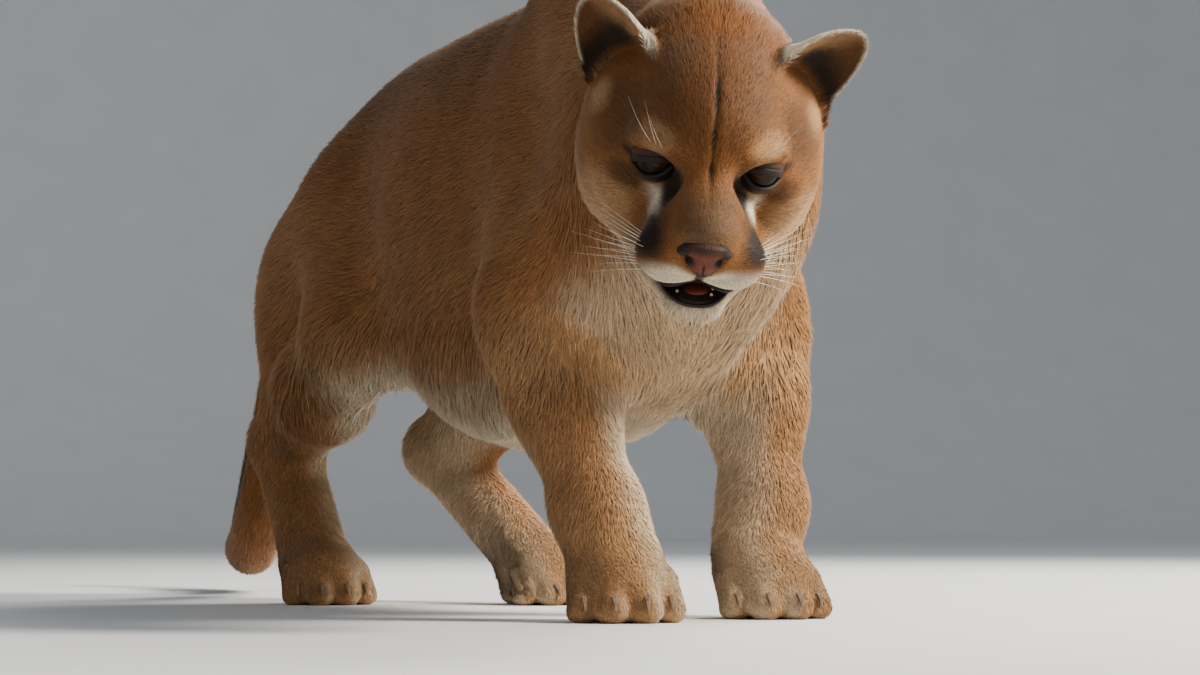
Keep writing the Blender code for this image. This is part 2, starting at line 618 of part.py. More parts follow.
def spindle(name, centres, radii, sides, flat=1.0, across=(0.0, 0.0, 1.0)):
    """A closed tube through centres with its radii, rounded ends, and a section flattened by flat."""
    centres = np.asarray(centres, float)
    along = np.gradient(centres, axis=0)
    along /= np.linalg.norm(along, axis=1)[:, None]
    second = np.cross(along, np.asarray(across, float))
    second /= np.linalg.norm(second, axis=1)[:, None]
    first = np.cross(second, along)
    angle = np.arange(sides) * 2 * math.pi / sides
    ring = np.cos(angle)[None, :, None] * first[:, None] * flat
    ring = ring + np.sin(angle)[None, :, None] * second[:, None]
    points = centres[:, None] + np.asarray(radii, float)[:, None, None] * ring
    rows = len(centres)
    index = np.arange(rows * sides).reshape(rows, sides)
    turned = np.roll(index, -1, 1)
    quads = np.stack([index[:-1], turned[:-1], turned[1:], index[1:]], -1).reshape(-1, 4)
    ends = [rows * sides, rows * sides + 1]
    caps = [[a, b, ends[0]] for a, b in zip(turned[0], index[0])]
    caps += [[a, b, ends[1]] for a, b in zip(index[-1], turned[-1])]
    tips = [centres[0] - along[0] * radii[0] * 0.6, centres[-1] + along[-1] * radii[-1] * 0.6]
    made = mesh_object(name, np.vstack([points.reshape(-1, 3), tips]), [])
    bpy.data.objects.remove(made)
    made = mesh_object(name, np.vstack([points.reshape(-1, 3), tips]).tolist(), quads)
    bm = bmesh.new()
    bm.from_mesh(made.data)
    bm.verts.ensure_lookup_table()
    for cap in caps:
        bm.faces.new([bm.verts[i] for i in cap])
    bmesh.ops.recalc_face_normals(bm, faces=bm.faces)
    bm.to_mesh(made.data)
    bm.free()
    return made


def in_head(points_mm):
    """Points of head space in millimetres, in the part's frame, as an array."""
    turn = np.array(HEAD.to_3x3())
    return np.asarray(points_mm, float) * MM @ turn.T + np.array(HEAD.translation)


def eye_frame(side):
    """Columns: outward, back to front and up, of an eye that looks forward and a little aside."""
    front = Vector((side * 0.30, -1.0, -0.10)).normalized()
    up = (Vector((0.0, 0.0, 1.0)) - Vector((0.0, 0.0, 1.0)).dot(front) * front).normalized()
    out = up.cross(front) * -side
    tilt = math.radians(10.0)
    out, up = out * math.cos(tilt) + up * math.sin(tilt), up * math.cos(tilt) - out * math.sin(tilt)
    return np.array([out, front, up])


def around_eye(side, across, height, radius):
    """Points at an angle across and an angle up from an eye's axis, radius millimetres out."""
    frame = eye_frame(side)
    a, h = np.radians(across), np.radians(height)
    local = np.stack([np.sin(a) * np.cos(h), np.cos(a) * np.cos(h), np.sin(h)], -1)
    middle = np.array([side * EYE_AT[0], EYE_AT[1], EYE_AT[2]]) / MM
    return middle + (local * radius[..., None]) @ frame


def eyes_and_lids():
    """Eyeballs, and above and below each one a lid that hugs it."""
    made = []
    for side, name in ((-1, "right"), (1, "left")):
        bm = bmesh.new()
        bmesh.ops.create_uvsphere(bm, u_segments=12, v_segments=8, radius=EYE_RADIUS)
        mesh = bpy.data.meshes.new("eye_" + name)
        frame = eye_frame(side)
        turn = Matrix(np.array([frame[0], frame[2], frame[1]]).T.tolist())
        middle = Vector((side * EYE_AT[0], EYE_AT[1], EYE_AT[2]))
        bmesh.ops.transform(bm, matrix=turn.to_4x4(), verts=bm.verts)
        bmesh.ops.transform(bm, matrix=HEAD @ Matrix.Translation(middle), verts=bm.verts)
        bmesh.ops.recalc_face_normals(bm, faces=bm.faces)
        bm.to_mesh(mesh)
        bm.free()
        eye = bpy.data.objects.new("eye_" + name, mesh)
        bpy.context.scene.collection.objects.link(eye)
        made.append(eye)
        t = np.linspace(-1.0, 1.0, 9)[:, None]
        s = np.linspace(0.0, 1.0, 3)[None, :]
        across = t * 58.0 + 0 * s
        for lid, opened, reach in (("upper", LID_RISE[0], 46.0), ("lower", -LID_RISE[1], -40.0)):
            margin = opened * (1.0 - t**2) + 2.0 * np.sign(opened)
            outer = reach * (1.0 - 0.62 * t**2)
            height = margin + (outer - margin) * s
            radius = EYE_RADIUS / MM + 0.35 + 0 * height
            back = around_eye(side, across, height, radius)
            thick = 2.9 - 0.9 * s + 0 * height
            front = around_eye(side, across, height, radius + thick)
            made.append(sheet_solid(f"lid_{lid}_{name}", in_head(front), in_head(back)))
    return made


def nose():
    """The nose leather, a shield with a nostril sunk in each side, and the room that it needs."""
    t = np.linspace(0.0, 1.0, 8)[:, None]
    s = np.linspace(-1.0, 1.0, 11)[None, :]
    half = np.interp(t, (0.0, 0.25, 0.5, 0.75, 1.0), (14.5, 19.0, 16.0, 7.0, 2.6))
    x = half * s
    z = 7.0 - 25.0 * t - 3.0 * (1.0 - t) * s**2
    y = -120.0 + 3.0 * (1 - 2 * t) ** 2 + 5.5 * s**2 * np.interp(t, (0.0, 0.4, 1.0), (1.0, 1.2, 0.2))
    hole = np.exp(-(((np.abs(x) - 11.0) / 3.6) ** 2) - (((z + 5.5) / 3.2) ** 2))
    front = np.stack([x, y + 5.0 * hole, z], -1)
    back = np.stack([x, y + 9.0, z], -1)
    behind = np.stack([x * 1.02, y + 9.8, z * 1.03], -1)
    room = sheet_solid("room", in_head(behind - (0, 20.0, 0)), in_head(behind))
    return sheet_solid("nose", in_head(front), in_head(back)), room


def mouth_parts():
    """Lips along the rims of the open mouth, the upper fangs and the tongue."""
    t = np.linspace(-1.0, 1.0, 11)
    y = -90.0 - 3.75 * (1.0 - np.cos(1.5 * math.pi * t)) + 12.0 * t**10
    upper = np.stack([27.0 * t, y, -37.0 - 4.5 * t**4], -1)
    lower = np.stack([24.0 * t, -100.8 + 20.5 * np.abs(t) ** 3.0, -50.0 + 5.0 * t**2], -1)
    ends = 2.6 * np.sqrt(np.clip(1.0 - (t * 0.96) ** 6, 0.05, 1.0))
    made = [
        spindle("lip_upper", in_head(upper), ends * MM, 6),
        spindle("lip_lower", in_head(lower), ends * MM, 6),
    ]
    for side, name in ((-1, "right"), (1, "left")):
        rise = np.linspace(0.0, 1.0, 4)
        top = np.stack([side * (13.0 - rise), -87.0 - 1.0 * rise, -33.5 - 12.0 * rise], -1)
        made.append(spindle(f"canine_{name}", in_head(top), 3.0 * (1 - 0.72 * rise) * MM, 6))
    y = np.linspace(-89.0, -67.0, 7)
    mid = np.stack([0 * y, y, -50.0 + 0.004 * (y + 80) ** 2], -1)
    wide = 10.5 * np.sqrt(np.clip(1.0 - ((y + 78.0) / 13.0) ** 4, 0.1, 1.0))
    made.append(spindle("tongue", in_head(mid), wide * MM, 8, 0.32))
    return made


def claws():
    """Four short hooked claws on each foot, drawn back between the toe and its fur."""
    made = []
    for kind, legs in (("fore", FORELEGS), ("hind", HINDLEGS)):
        for name, joints in legs.items():
            size = 1.0 if kind == "fore" else 0.95
            turn = math.radians(joints["heading"])
            c, s = math.cos(turn), math.sin(turn)
            spots = ((-0.0118, -0.0515), (0.0118, -0.0515), (-0.0318, -0.0365), (0.0318, -0.0365))
            for number, (x, y) in enumerate(spots, 1):
                rise = np.linspace(0.0, 1.0, 4)
                out_y = y + 0.004 - 0.0085 * rise
                up_z = 0.0185 - 0.0100 * rise**2
                path = [
                    placed(
                        joints["foot"][0] + size * (c * x - s * v),
                        joints["foot"][1] + size * (s * x + c * v),
                        size * z,
                    )
                    for v, z in zip(out_y, up_z)
                ]
                width = 0.0023 * (1.0 - 0.72 * rise)
                claw = spindle(f"claw_{kind}_{name}_{number}", path, width, 5, 1.3, (1.0, 0.0, 0.01))
                made.append((f"{kind}paw_{name}", claw))
    return made


def seat(host, fittings, gap):
    """Cut a seat in host for each fitting, the fitting's own shape grown by gap."""
    for fitting in fittings:
        cutter = bpy.data.objects.new("cutter", fitting.data.copy())
        bpy.context.scene.collection.objects.link(cutter)
        cutter.hide_render = True
        cutter.hide_viewport = True
        for v in cutter.data.vertices:
            v.co += v.normal * gap
        cut = host.modifiers.new("seat", "BOOLEAN")
        cut.operation = "DIFFERENCE"
        cut.solver = "EXACT"
        cut.object = cutter
        apply_modifiers(host)
        bpy.data.objects.remove(cutter)


def coloured(thing):
    """Give an object its own material, by what it is made of, and smooth shading."""
    colour, rough = next(v for k, v in COLOURS.items() if thing.name.startswith(k))
    material = bpy.data.materials.new(thing.name)
    material.use_nodes = True
    surface = material.node_tree.nodes["Principled BSDF"]
    surface.inputs["Base Color"].default_value = (*colour, 1.0)
    surface.inputs["Roughness"].default_value = rough
    surface.inputs["Metallic"].default_value = 0.0
    thing.data.materials.clear()
    thing.data.materials.append(material)
    thing.data.shade_smooth()
    thing.data.set_sharp_from_angle(angle=math.radians(50.0))


def largest_only(thing):
    """Keep the largest connected surface of an object, as triangles."""
    bm = bmesh.new()
    bm.from_mesh(thing.data)
    bmesh.ops.triangulate(bm, faces=bm.faces)
    left, shells = set(bm.faces), []
    while left:
        start = left.pop()
        piece, edge = {start}, [start]
        while edge:
            for e in edge.pop().edges:
                for f in e.link_faces:
                    if f in left:
                        left.discard(f)
                        piece.add(f)
                        edge.append(f)
        shells.append(piece)
    shells.sort(key=len)
    lesser = [f for shell in shells[:-1] for f in shell]
    if lesser:
        bmesh.ops.delete(bm, geom=lesser, context="FACES")
        loose = [v for v in bm.verts if not v.link_faces]
        bmesh.ops.delete(bm, geom=loose, context="VERTS")
    bm.to_mesh(thing.data)
    bm.free()


def main():
    for old in list(bpy.data.objects):
        bpy.data.objects.remove(old)
    low = np.array(placed(-0.26, -0.40, -0.014))
    high = np.array(placed(0.26, 1.28, 0.56))
    points, quads = whole_surface(low, high, CELL)
    whole = mesh_object("whole", settled(points), quads)
    thinned(whole, BODY_FACES)
    bm = bmesh.new()
    bm.from_mesh(whole.data)
    bpy.data.objects.remove(whole)
    bmesh.ops.triangulate(bm, faces=bm.faces)
    stand_on_floor(bm)
    for cut in cuts():
        part_at(bm, *cut)
    bmesh.ops.triangulate(bm, faces=[f for f in bm.faces if len(f.verts) > 3])
    pieces = named_pieces(bm)
    bm.free()
    lids = eyes_and_lids()
    seat(pieces["head"], lids, SEAT_GAP)
    _, room = nose()
    seat(pieces["head"], [room], 0.0)
    bpy.data.objects.remove(room)
    seat(pieces["head"], mouth_parts(), SEAT_GAP)
    for host, claw in claws():
        seat(pieces[host], [claw], SEAT_GAP)
    for thing in list(bpy.data.objects):
        largest_only(thing)
        coloured(thing)


if __name__ == "__main__":
    main()
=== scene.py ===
import math

import bmesh
import bpy
import numpy as np
import openvdb
from mathutils import Euler, Matrix, Vector


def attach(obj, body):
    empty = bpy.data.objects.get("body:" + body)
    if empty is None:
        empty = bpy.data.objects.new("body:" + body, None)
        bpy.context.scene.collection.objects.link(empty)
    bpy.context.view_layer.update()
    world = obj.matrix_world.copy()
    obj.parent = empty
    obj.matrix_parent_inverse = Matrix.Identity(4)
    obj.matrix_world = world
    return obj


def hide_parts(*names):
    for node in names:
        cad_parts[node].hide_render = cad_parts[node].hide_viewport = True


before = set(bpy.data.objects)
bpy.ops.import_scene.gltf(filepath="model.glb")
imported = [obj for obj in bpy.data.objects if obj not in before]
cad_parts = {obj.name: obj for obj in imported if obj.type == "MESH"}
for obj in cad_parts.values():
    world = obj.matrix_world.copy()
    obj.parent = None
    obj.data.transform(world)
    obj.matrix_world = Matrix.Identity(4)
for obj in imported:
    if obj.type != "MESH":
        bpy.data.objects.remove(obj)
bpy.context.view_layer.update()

# A cougar in a low walk. Metres, +Z up, the animal faces -Y and its own left side is +X.
# The skin is the level surface of one smooth union of capsules and ellipsoids, less the coat's
# depth. Tufts of fur are seeded blades that grow from points spread evenly over that skin.

CELL = 0.0060  # lattice step of the skin before its head and feet are divided more finely
BLOCK = 4  # lattice points along the side of a block that is skipped when far from the surface
CHUNK = 60000  # points per call, which keeps the arrays in the processor's cache

# The frame: where the point on the floor between the forepaws lies from the origin
FRONT_X, FRONT_Y = 0.0086, -0.468


def placed(x, y, z):
    """A point measured from the spot on the floor between the forepaws, in the part's frame."""
    return Vector((x + FRONT_X, y + FRONT_Y, z))


# The trunk: stations along Y as (y, top, bottom, half width), coat included
TRUNK = (
    (-0.098, 0.385, 0.300, 0.030),
    (-0.078, 0.420, 0.255, 0.056),
    (-0.030, 0.462, 0.205, 0.070),
    (0.040, 0.500, 0.168, 0.080),
    (0.130, 0.505, 0.140, 0.099),
    (0.240, 0.496, 0.122, 0.114),
    (0.340, 0.490, 0.136, 0.116),
    (0.420, 0.486, 0.168, 0.101),
    (0.500, 0.482, 0.202, 0.084),
    (0.580, 0.468, 0.234, 0.076),
    (0.655, 0.438, 0.258, 0.068),
    (0.706, 0.408, 0.290, 0.052),
    (0.738, 0.384, 0.328, 0.030),
)

# Joints of each leg, from its root to its foot, and the way that the foot points
FORELEGS = {
    "right": dict(
        blade=(-0.042, 0.110, 0.488),
        shoulder=(-0.054, -0.025, 0.350),
        elbow=(-0.089, 0.090, 0.232),
        wrist=(-0.067, 0.026, 0.082),
        foot=(-0.062, -0.006),
        heading=-16.0,
    ),
    "left": dict(
        blade=(0.030, 0.135, 0.488),
        shoulder=(0.040, 0.010, 0.346),
        elbow=(0.101, 0.116, 0.236),
        wrist=(0.090, 0.066, 0.085),
        foot=(0.077, 0.036),
        heading=-10.0,
    ),
}
HINDLEGS = {
    "right": dict(
        hip=(-0.050, 0.596, 0.346),
        knee=(-0.104, 0.436, 0.222),
        hock=(-0.100, 0.642, 0.142),
        foot=(-0.096, 0.546),
        heading=-8.0,
    ),
    "left": dict(
        hip=(0.050, 0.596, 0.346),
        knee=(0.104, 0.445, 0.236),
        hock=(0.038, 0.612, 0.135),
        foot=(0.074, 0.466),
        heading=8.0,
    ),
}

# The tail's route from its root, and its radius there, coat included
TAIL = (
    (0.000, 0.685, 0.380, 0.042),
    (-0.006, 0.745, 0.348, 0.035),
    (-0.022, 0.786, 0.285, 0.031),
    (-0.040, 0.806, 0.205, 0.029),
    (-0.046, 0.832, 0.125, 0.028),
    (-0.040, 0.892, 0.066, 0.027),
    (-0.018, 0.982, 0.044, 0.027),
    (0.014, 1.072, 0.050, 0.027),
    (0.046, 1.150, 0.088, 0.026),
    (0.064, 1.196, 0.142, 0.020),
)

# The head: its place, and how it is turned to its right, pitched down and rolled, in degrees
HEAD_AT = (-0.0843, -0.190, 0.3185)
HEAD_TURN, HEAD_PITCH, HEAD_ROLL = -24.5, 37.0, 7.5
MM = 0.001
EYE_AT, EYE_RADIUS = (0.0345, -0.0325, 0.0205), 0.0150  # of the animal's left eye, in head space

LID_RISE = (20.0, 18.5)  # degrees that the upper and the lower lid stand open

# The left ear in head space, millimetres: the middle of its root, its rise and the way it opens
EAR_AT = (63.0, 42.0, 47.0)
EAR_LENGTH, EAR_HALF, EAR_DEPTH, EAR_THICK = 55.0, 27.0, 20.0, 6.5
# Each ear's way up and the way that its cup opens, as if on the left; the left one is turned lower
EAR_UPS = {-1: Vector((0.50, 0.02, 0.866)).normalized(), 1: Vector((0.68, 0.02, 0.733)).normalized()}
EAR_OPENS = Vector((0.30, -0.95, 0.0))


def ear_axes(side):
    """Rows: up, sideways and front of an ear, in head space as if on the left."""
    up = EAR_UPS[side]
    front = (EAR_OPENS - EAR_OPENS.dot(up) * up).normalized()
    return np.array([up, up.cross(front), front], np.float32)


EAR_AXES = {side: ear_axes(side) for side in (-1, 1)}


def head_matrix():
    """Head space (x to its left, y to the back, z up, metres) to the part's frame."""
    turned = Euler((0.0, 0.0, math.radians(HEAD_TURN))).to_matrix()
    pitched = Euler((math.radians(HEAD_PITCH), 0.0, 0.0)).to_matrix()
    rolled = Euler((0.0, math.radians(HEAD_ROLL), 0.0)).to_matrix()
    return Matrix.Translation(placed(*HEAD_AT)) @ (turned @ pitched @ rolled).to_4x4()


def blend(a, b, reach):
    """Smooth union of two distances: the lesser, lowered where they differ by less than reach."""
    near = np.maximum(reach - np.abs(a - b), 0.0)
    return np.minimum(a, b) - near * near / (4.0 * reach)


def carve(a, b, reach):
    """Smooth difference: distance a with the shape of distance b taken away."""
    return -blend(-a, b, reach)


def ellipsoid(p, centre, radii, turn=None):
    """Distance to an ellipsoid, close to true near its surface. turn holds its axes as columns."""
    q = p - np.asarray(centre, np.float32)
    if turn is not None:
        q = q @ np.asarray(turn, np.float32)
    unit = q / np.asarray(radii, np.float32)
    once = np.sqrt((unit * unit).sum(1))
    twice = unit / np.asarray(radii, np.float32)
    return once * (once - 1.0) / np.maximum(np.sqrt((twice * twice).sum(1)), 1e-6)


def capsule(p, a, b, start, end, wide=1.0, across=(1.0, 0.0, 0.0)):
    """Distance to a tapered capsule from a to b. Its section is wide times as wide along across."""
    a, b = (np.asarray(v, np.float32) for v in (a, b))
    along = b - a
    share = np.clip((p - a) @ along / (along @ along), 0.0, 1.0)
    off = p - a - share[:, None] * along
    if wide != 1.0:
        side = np.asarray(across, np.float32)
        off = off - np.outer(off @ side, side * (1.0 - 1.0 / wide))
    radius = start + (end - start) * share
    return (np.sqrt((off * off).sum(1)) - radius) * min(1.0, wide) ** 0.5


def between(a, b, share):
    """The point that share of the way from a to b."""
    return tuple(np.asarray(a, float) * (1.0 - share) + np.asarray(b, float) * share)


def shifted(a, x=0.0, y=0.0, z=0.0):
    return (a[0] + x, a[1] + y, a[2] + z)


def smooth_table(rows, count=160):
    """Rows of numbers, the first one rising, drawn out to count rows along Catmull-Rom curves."""
    rows = np.asarray(rows, float)
    ends = np.vstack([2 * rows[0] - rows[1], rows, 2 * rows[-1] - rows[-2]])
    t = np.linspace(0.0, len(rows) - 1.0001, count)
    k, f = t.astype(int), (t % 1.0)[:, None]
    a, b, c, d = (ends[k + i] for i in range(4))
    return 0.5 * (
        2 * b + (c - a) * f + (2 * a - 5 * b + 4 * c - d) * f**2 + (3 * b - a - 3 * c + d) * f**3
    )


TRUNK_CURVES = smooth_table(TRUNK)
TRUNK_SLOPES = np.gradient(TRUNK_CURVES[:, 3] + (TRUNK_CURVES[:, 1] - TRUNK_CURVES[:, 2]) / 2)
TRUNK_SLOPES = np.clip(TRUNK_SLOPES / np.gradient(TRUNK_CURVES[:, 0]) / 2, -1.5, 1.5)
TAIL_ROUTE = smooth_table(TAIL, 36)


def trunk(p):
    """Distance to the trunk: at each y an egg whose top, bottom and width the stations give."""
    y = np.clip(p[:, 1], TRUNK_CURVES[0, 0], TRUNK_CURVES[-1, 0])
    top, bottom, half = (np.interp(y, TRUNK_CURVES[:, 0], TRUNK_CURVES[:, i]) for i in (1, 2, 3))
    tall = (top - bottom) / 2
    slope = np.interp(y, TRUNK_CURVES[:, 0], TRUNK_SLOPES)
    z = (p[:, 2] - (top + bottom) / 2) / tall
    x = p[:, 0] / (half * (1.0 - 0.12 * np.clip(z, -1.0, 1.0)))
    size = (np.abs(x) ** 2.2 + np.abs(z) ** 2.2) ** (1 / 2.2)
    reach = np.hypot(p[:, 0], p[:, 2] - (top + bottom) / 2)
    side = reach * (1.0 - 1.0 / np.maximum(size, 0.05)) / np.sqrt(1.0 + slope**2)
    beyond = np.abs(p[:, 1] - y)
    return np.hypot(np.maximum(side, 0.0), beyond) + np.minimum(side, 0.0)


def foot(p, at, heading, size):
    """Distance to a paw: a low mound, four toes in an arc, and the pad behind them."""
    turn = math.radians(heading)
    c, s = math.cos(turn), math.sin(turn)
    q = np.empty_like(p)
    x, y = p[:, 0] - at[0], p[:, 1] - at[1]
    q[:, 0], q[:, 1], q[:, 2] = (c * x + s * y) / size, (-s * x + c * y) / size, p[:, 2] / size
    d = ellipsoid(q, (0.0, 0.004, 0.029), (0.037, 0.046, 0.030))
    d = blend(d, ellipsoid(q, (0.0, 0.018, 0.011), (0.026, 0.026, 0.016)), 0.010)
    for side in (-1, 1):
        for x, y, r in ((0.0112, -0.0400, 0.0142), (0.0300, -0.0260, 0.0134)):
            knuckle = (side * x * 0.94, y + 0.020, 0.0275)
            tip = (side * x * 1.06, y, 0.0105)
            d = blend(d, capsule(q, knuckle, tip, r * 1.04, r * 0.92), 0.0075)
    return d * size


def foreleg(p, j):
    """Distance to a foreleg: shoulder blade, upper arm, forearm, wrist and paw."""
    side = math.copysign(1.0, j["elbow"][0])
    blade, shoulder, elbow, wrist = (j[k] for k in ("blade", "shoulder", "elbow", "wrist"))
    ankle = (j["foot"][0], j["foot"][1] + 0.016, 0.052)
    d = capsule(p, blade, shoulder, 0.036, 0.052, 0.72)
    d = blend(d, capsule(p, shifted(blade, y=0.030, z=-0.07), shifted(elbow, z=0.02), 0.050, 0.044, 0.72), 0.04)
    d = blend(d, capsule(p, shoulder, shifted(elbow, z=0.005), 0.050, 0.043, 0.84), 0.035)
    d = blend(d, capsule(p, elbow, between(elbow, wrist, 0.45), 0.043, 0.0385), 0.025)
    d = blend(d, capsule(p, shifted(elbow, x=0.006 * side, y=-0.012, z=-0.02), between(elbow, wrist, 0.6), 0.036, 0.031), 0.02)
    d = blend(d, capsule(p, between(elbow, wrist, 0.4), wrist, 0.0365, 0.0315), 0.02)
    d = blend(d, capsule(p, wrist, ankle, 0.0320, 0.0330, 1.08), 0.02)
    d = blend(d, ellipsoid(p, shifted(wrist, y=0.024, z=-0.012), (0.013, 0.012, 0.014)), 0.014)
    d = blend(d, ellipsoid(p, (wrist[0] - 0.030 * side, wrist[1] - 0.004, 0.058), (0.011, 0.013, 0.018)), 0.012)
    return blend(d, foot(p, j["foot"], j["heading"], 1.0), 0.016)


def hindleg(p, j):
    """Distance to a hind leg: thigh, knee, shank, hock, long foot and toes."""
    side = math.copysign(1.0, j["hip"][0])
    hip, knee, hock = (j[k] for k in ("hip", "knee", "hock"))
    ball = (j["foot"][0], j["foot"][1] + 0.026, 0.042)
    buttock = shifted(hip, x=0.010 * side, y=0.072, z=-0.052)
    calf = between(knee, hock, 0.45)
    d = capsule(p, shifted(hip, y=-0.02), shifted(knee, y=0.012, z=0.016), 0.062, 0.050, 0.86)
    d = blend(d, capsule(p, buttock, shifted(between(knee, hock, 0.74), y=0.01, z=0.032), 0.050, 0.038, 0.84), 0.05)
    d = blend(d, ellipsoid(p, shifted(hip, x=0.020 * side, y=0.020, z=-0.080), (0.050, 0.095, 0.090)), 0.045)
    d = blend(d, capsule(p, knee, calf, 0.046, 0.044, 0.9), 0.03)
    d = blend(d, capsule(p, calf, between(knee, hock, 0.86), 0.044, 0.0310, 0.9), 0.03)
    d = blend(d, capsule(p, between(knee, hock, 0.75), hock, 0.032, 0.0290), 0.02)
    d = blend(d, ellipsoid(p, shifted(hock, y=0.012, z=0.004), (0.021, 0.024, 0.024)), 0.016)
    d = blend(d, capsule(p, hock, ball, 0.0295, 0.0300, 1.05), 0.02)
    return blend(d, foot(p, j["foot"], j["heading"], 0.95), 0.016)


def tail(p):
    """Distance to the tail: the least over short tapered lengths of its route."""
    d = np.full(len(p), 9.0, np.float32)
    for a, b in zip(TAIL_ROUTE[:-1], TAIL_ROUTE[1:]):
        d = np.minimum(d, capsule(p, a[:3], b[:3], a[3], b[3]))
    return d


def skull(q):
    """Distance to the head in head space, in metres. Both sides come from the distance to x = 0."""
    m = q.copy()
    m[:, 0] = np.abs(m[:, 0])

    def lump(x, y, z, rx, ry, rz, turn=None):
        return ellipsoid(m, (x * MM, y * MM, z * MM), (rx * MM, ry * MM, rz * MM), turn)

    def bar(a, b, ra, rb, wide=1.0):
        ends = [tuple(v * MM for v in end) for end in (a, b)]
        return capsule(m, *ends, ra * MM, rb * MM, wide)

    d = lump(0, 46, 26, 62, 80, 56)  # brain case with its muscles
    d = blend(d, lump(0, -10, 36, 47, 50, 38), 30 * MM)  # forehead
    d = blend(d, lump(46, 44, 16, 36, 46, 34), 26 * MM)  # temple below the ear
    d = blend(d, bar((20, -40, 41), (44, -26, 34), 11, 10), 14 * MM)  # brow ridge
    d = blend(d, lump(45, 8, -6, 37, 50, 32), 24 * MM)  # cheekbone
    d = blend(d, lump(46, 46, -28, 39, 44, 42), 26 * MM)  # jaw muscle and ruff
    d = blend(d, bar((0, -44, 18), (0, -94, 3), 25, 18, 1.18), 18 * MM)  # bridge of the nose
    d = blend(d, lump(0, -66, -12, 37, 44, 28), 18 * MM)  # muzzle
    d = blend(d, lump(21, -87, -19, 23.5, 25, 19.5), 8 * MM)  # whisker pad
    d = blend(d, bar((0, -96, 0), (0, -107.5, -7), 15, 11, 1.2), 9 * MM)  # nose
    d = blend(d, bar((0, -90, -57), (0, -58, -49), 14, 22, 1.62), 12 * MM)  # chin
    d = blend(d, bar((26, -56, -36), (46, 14, -38), 16, 28), 22 * MM)  # lower jaw
    d = blend(d, lump(0, 0, -38, 40, 60, 30), 24 * MM)  # throat
    d = blend(d, bar((21, -50, 37), (49, -36, 35), 6, 5), 7 * MM)  # brow above the eye
    d = carve(d, lump(36, -57, 18, 18, 14, 10), 14 * MM)  # socket
    d = carve(d, lump(0, -92, -43, 26, 32, 5.8), 3 * MM)  # mouth, a little open
    return blend(d, ear(m, q[:, 0] > 0), 7 * MM)


def ear(m, is_left):
    """Distance to an ear: a cupped sheet cut to a rounded leaf, which opens forward and outward."""
    q = m - np.array(EAR_AT, np.float32) * np.float32(MM)
    q = np.where(is_left[:, None], q @ EAR_AXES[1].T, q @ EAR_AXES[-1].T) / np.float32(MM)
    a, s, f = q[:, 0], q[:, 1], q[:, 2]
    rise = np.clip(a / EAR_LENGTH, -0.4, 1.2)
    depth = EAR_DEPTH * (1.0 - 0.62 * rise)
    bowl = -depth * (1.0 - (s / EAR_HALF) ** 2) + 5.0 * np.maximum(rise, 0.0) ** 2
    slope = np.sqrt(1.0 + (2.0 * depth * s / EAR_HALF**2) ** 2)
    sheet = np.abs(f - bowl) / slope - (EAR_THICK - 1.0 * np.clip(rise, 0.0, 1.0)) / 2
    swell = 1.0 - 0.10 * np.clip(-rise, 0.0, 1.0)
    leaf = np.sqrt((s / (EAR_HALF * swell)) ** 2 + (np.maximum(a, 0.0) / EAR_LENGTH) ** 2)
    edge = (leaf - 1.0) * EAR_HALF
    return -blend(-np.maximum(sheet, -a - 16.0), -edge, 2.0) * np.float32(MM)


HEAD = head_matrix()
HEAD_INVERSE = np.array(HEAD.inverted(), np.float32)


def to_head(p):
    return p @ HEAD_INVERSE[:3, :3].T + HEAD_INVERSE[:3, 3]


def in_part(point_mm):
    """A point of head space in millimetres, in the part's frame."""
    return HEAD @ (Vector(point_mm) * MM)


def neck(p):
    """Distance to the neck: from the back of the head to the withers and down the throat to the chest."""
    nape = tuple(in_part((0, 82, 12)) - placed(0, 0, 0))
    low = tuple(in_part((0, 62, -28)) - placed(0, 0, 0))
    d = capsule(p, nape, (-0.018, 0.030, 0.412), 0.066, 0.078, 0.92)
    d = blend(d, capsule(p, low, (-0.006, -0.020, 0.318), 0.060, 0.080, 0.90), 0.05)
    return blend(d, capsule(p, (-0.016, 0.000, 0.448), (0.0, 0.115, 0.474), 0.046, 0.044, 0.9), 0.05)


def flesh(points):
    """Distance to the whole animal, coat included. Inside is below zero."""
    p = points - np.array(placed(0, 0, 0), np.float32)
    d = trunk(p)
    d = blend(d, neck(p), 0.05)
    for legs, of_leg in ((FORELEGS, foreleg), (HINDLEGS, hindleg)):
        for joints in legs.values():
            inner = np.copysign(0.03, joints["foot"][0])
            near = (p[:, 0] - inner * -1 / 2) * inner > -0.002
            reach = 0.045 if of_leg is foreleg else 0.05
            d[near] = blend(d[near], of_leg(p[near], joints), reach)
    d = blend(d, tail(p), 0.03)
    near = p[:, 1] < 0.06
    d[near] = blend(d[near], skull(to_head(points[near])), 0.035)
    return d




def ease(low, high, x):
    """Zero below low, one above high, and a smooth S between them."""
    t = np.clip((x - low) / (high - low), 0.0, 1.0)
    return t * t * (3.0 - 2.0 * t)


def from_front(points):
    return points - np.array(placed(0, 0, 0), np.float32)


def head_mm(points):
    """Points in head space, in millimetres."""
    return to_head(points) / MM


def ear_mm(q):
    """Rise, sideways place and depth in the ear's own space, of head points in millimetres."""
    m = q.copy()
    m[:, 0] = np.abs(m[:, 0])
    m = m - np.array(EAR_AT)
    own = np.where(q[:, :1] > 0, m @ EAR_AXES[1].T, m @ EAR_AXES[-1].T)
    return own[:, 0], own[:, 1], own[:, 2]


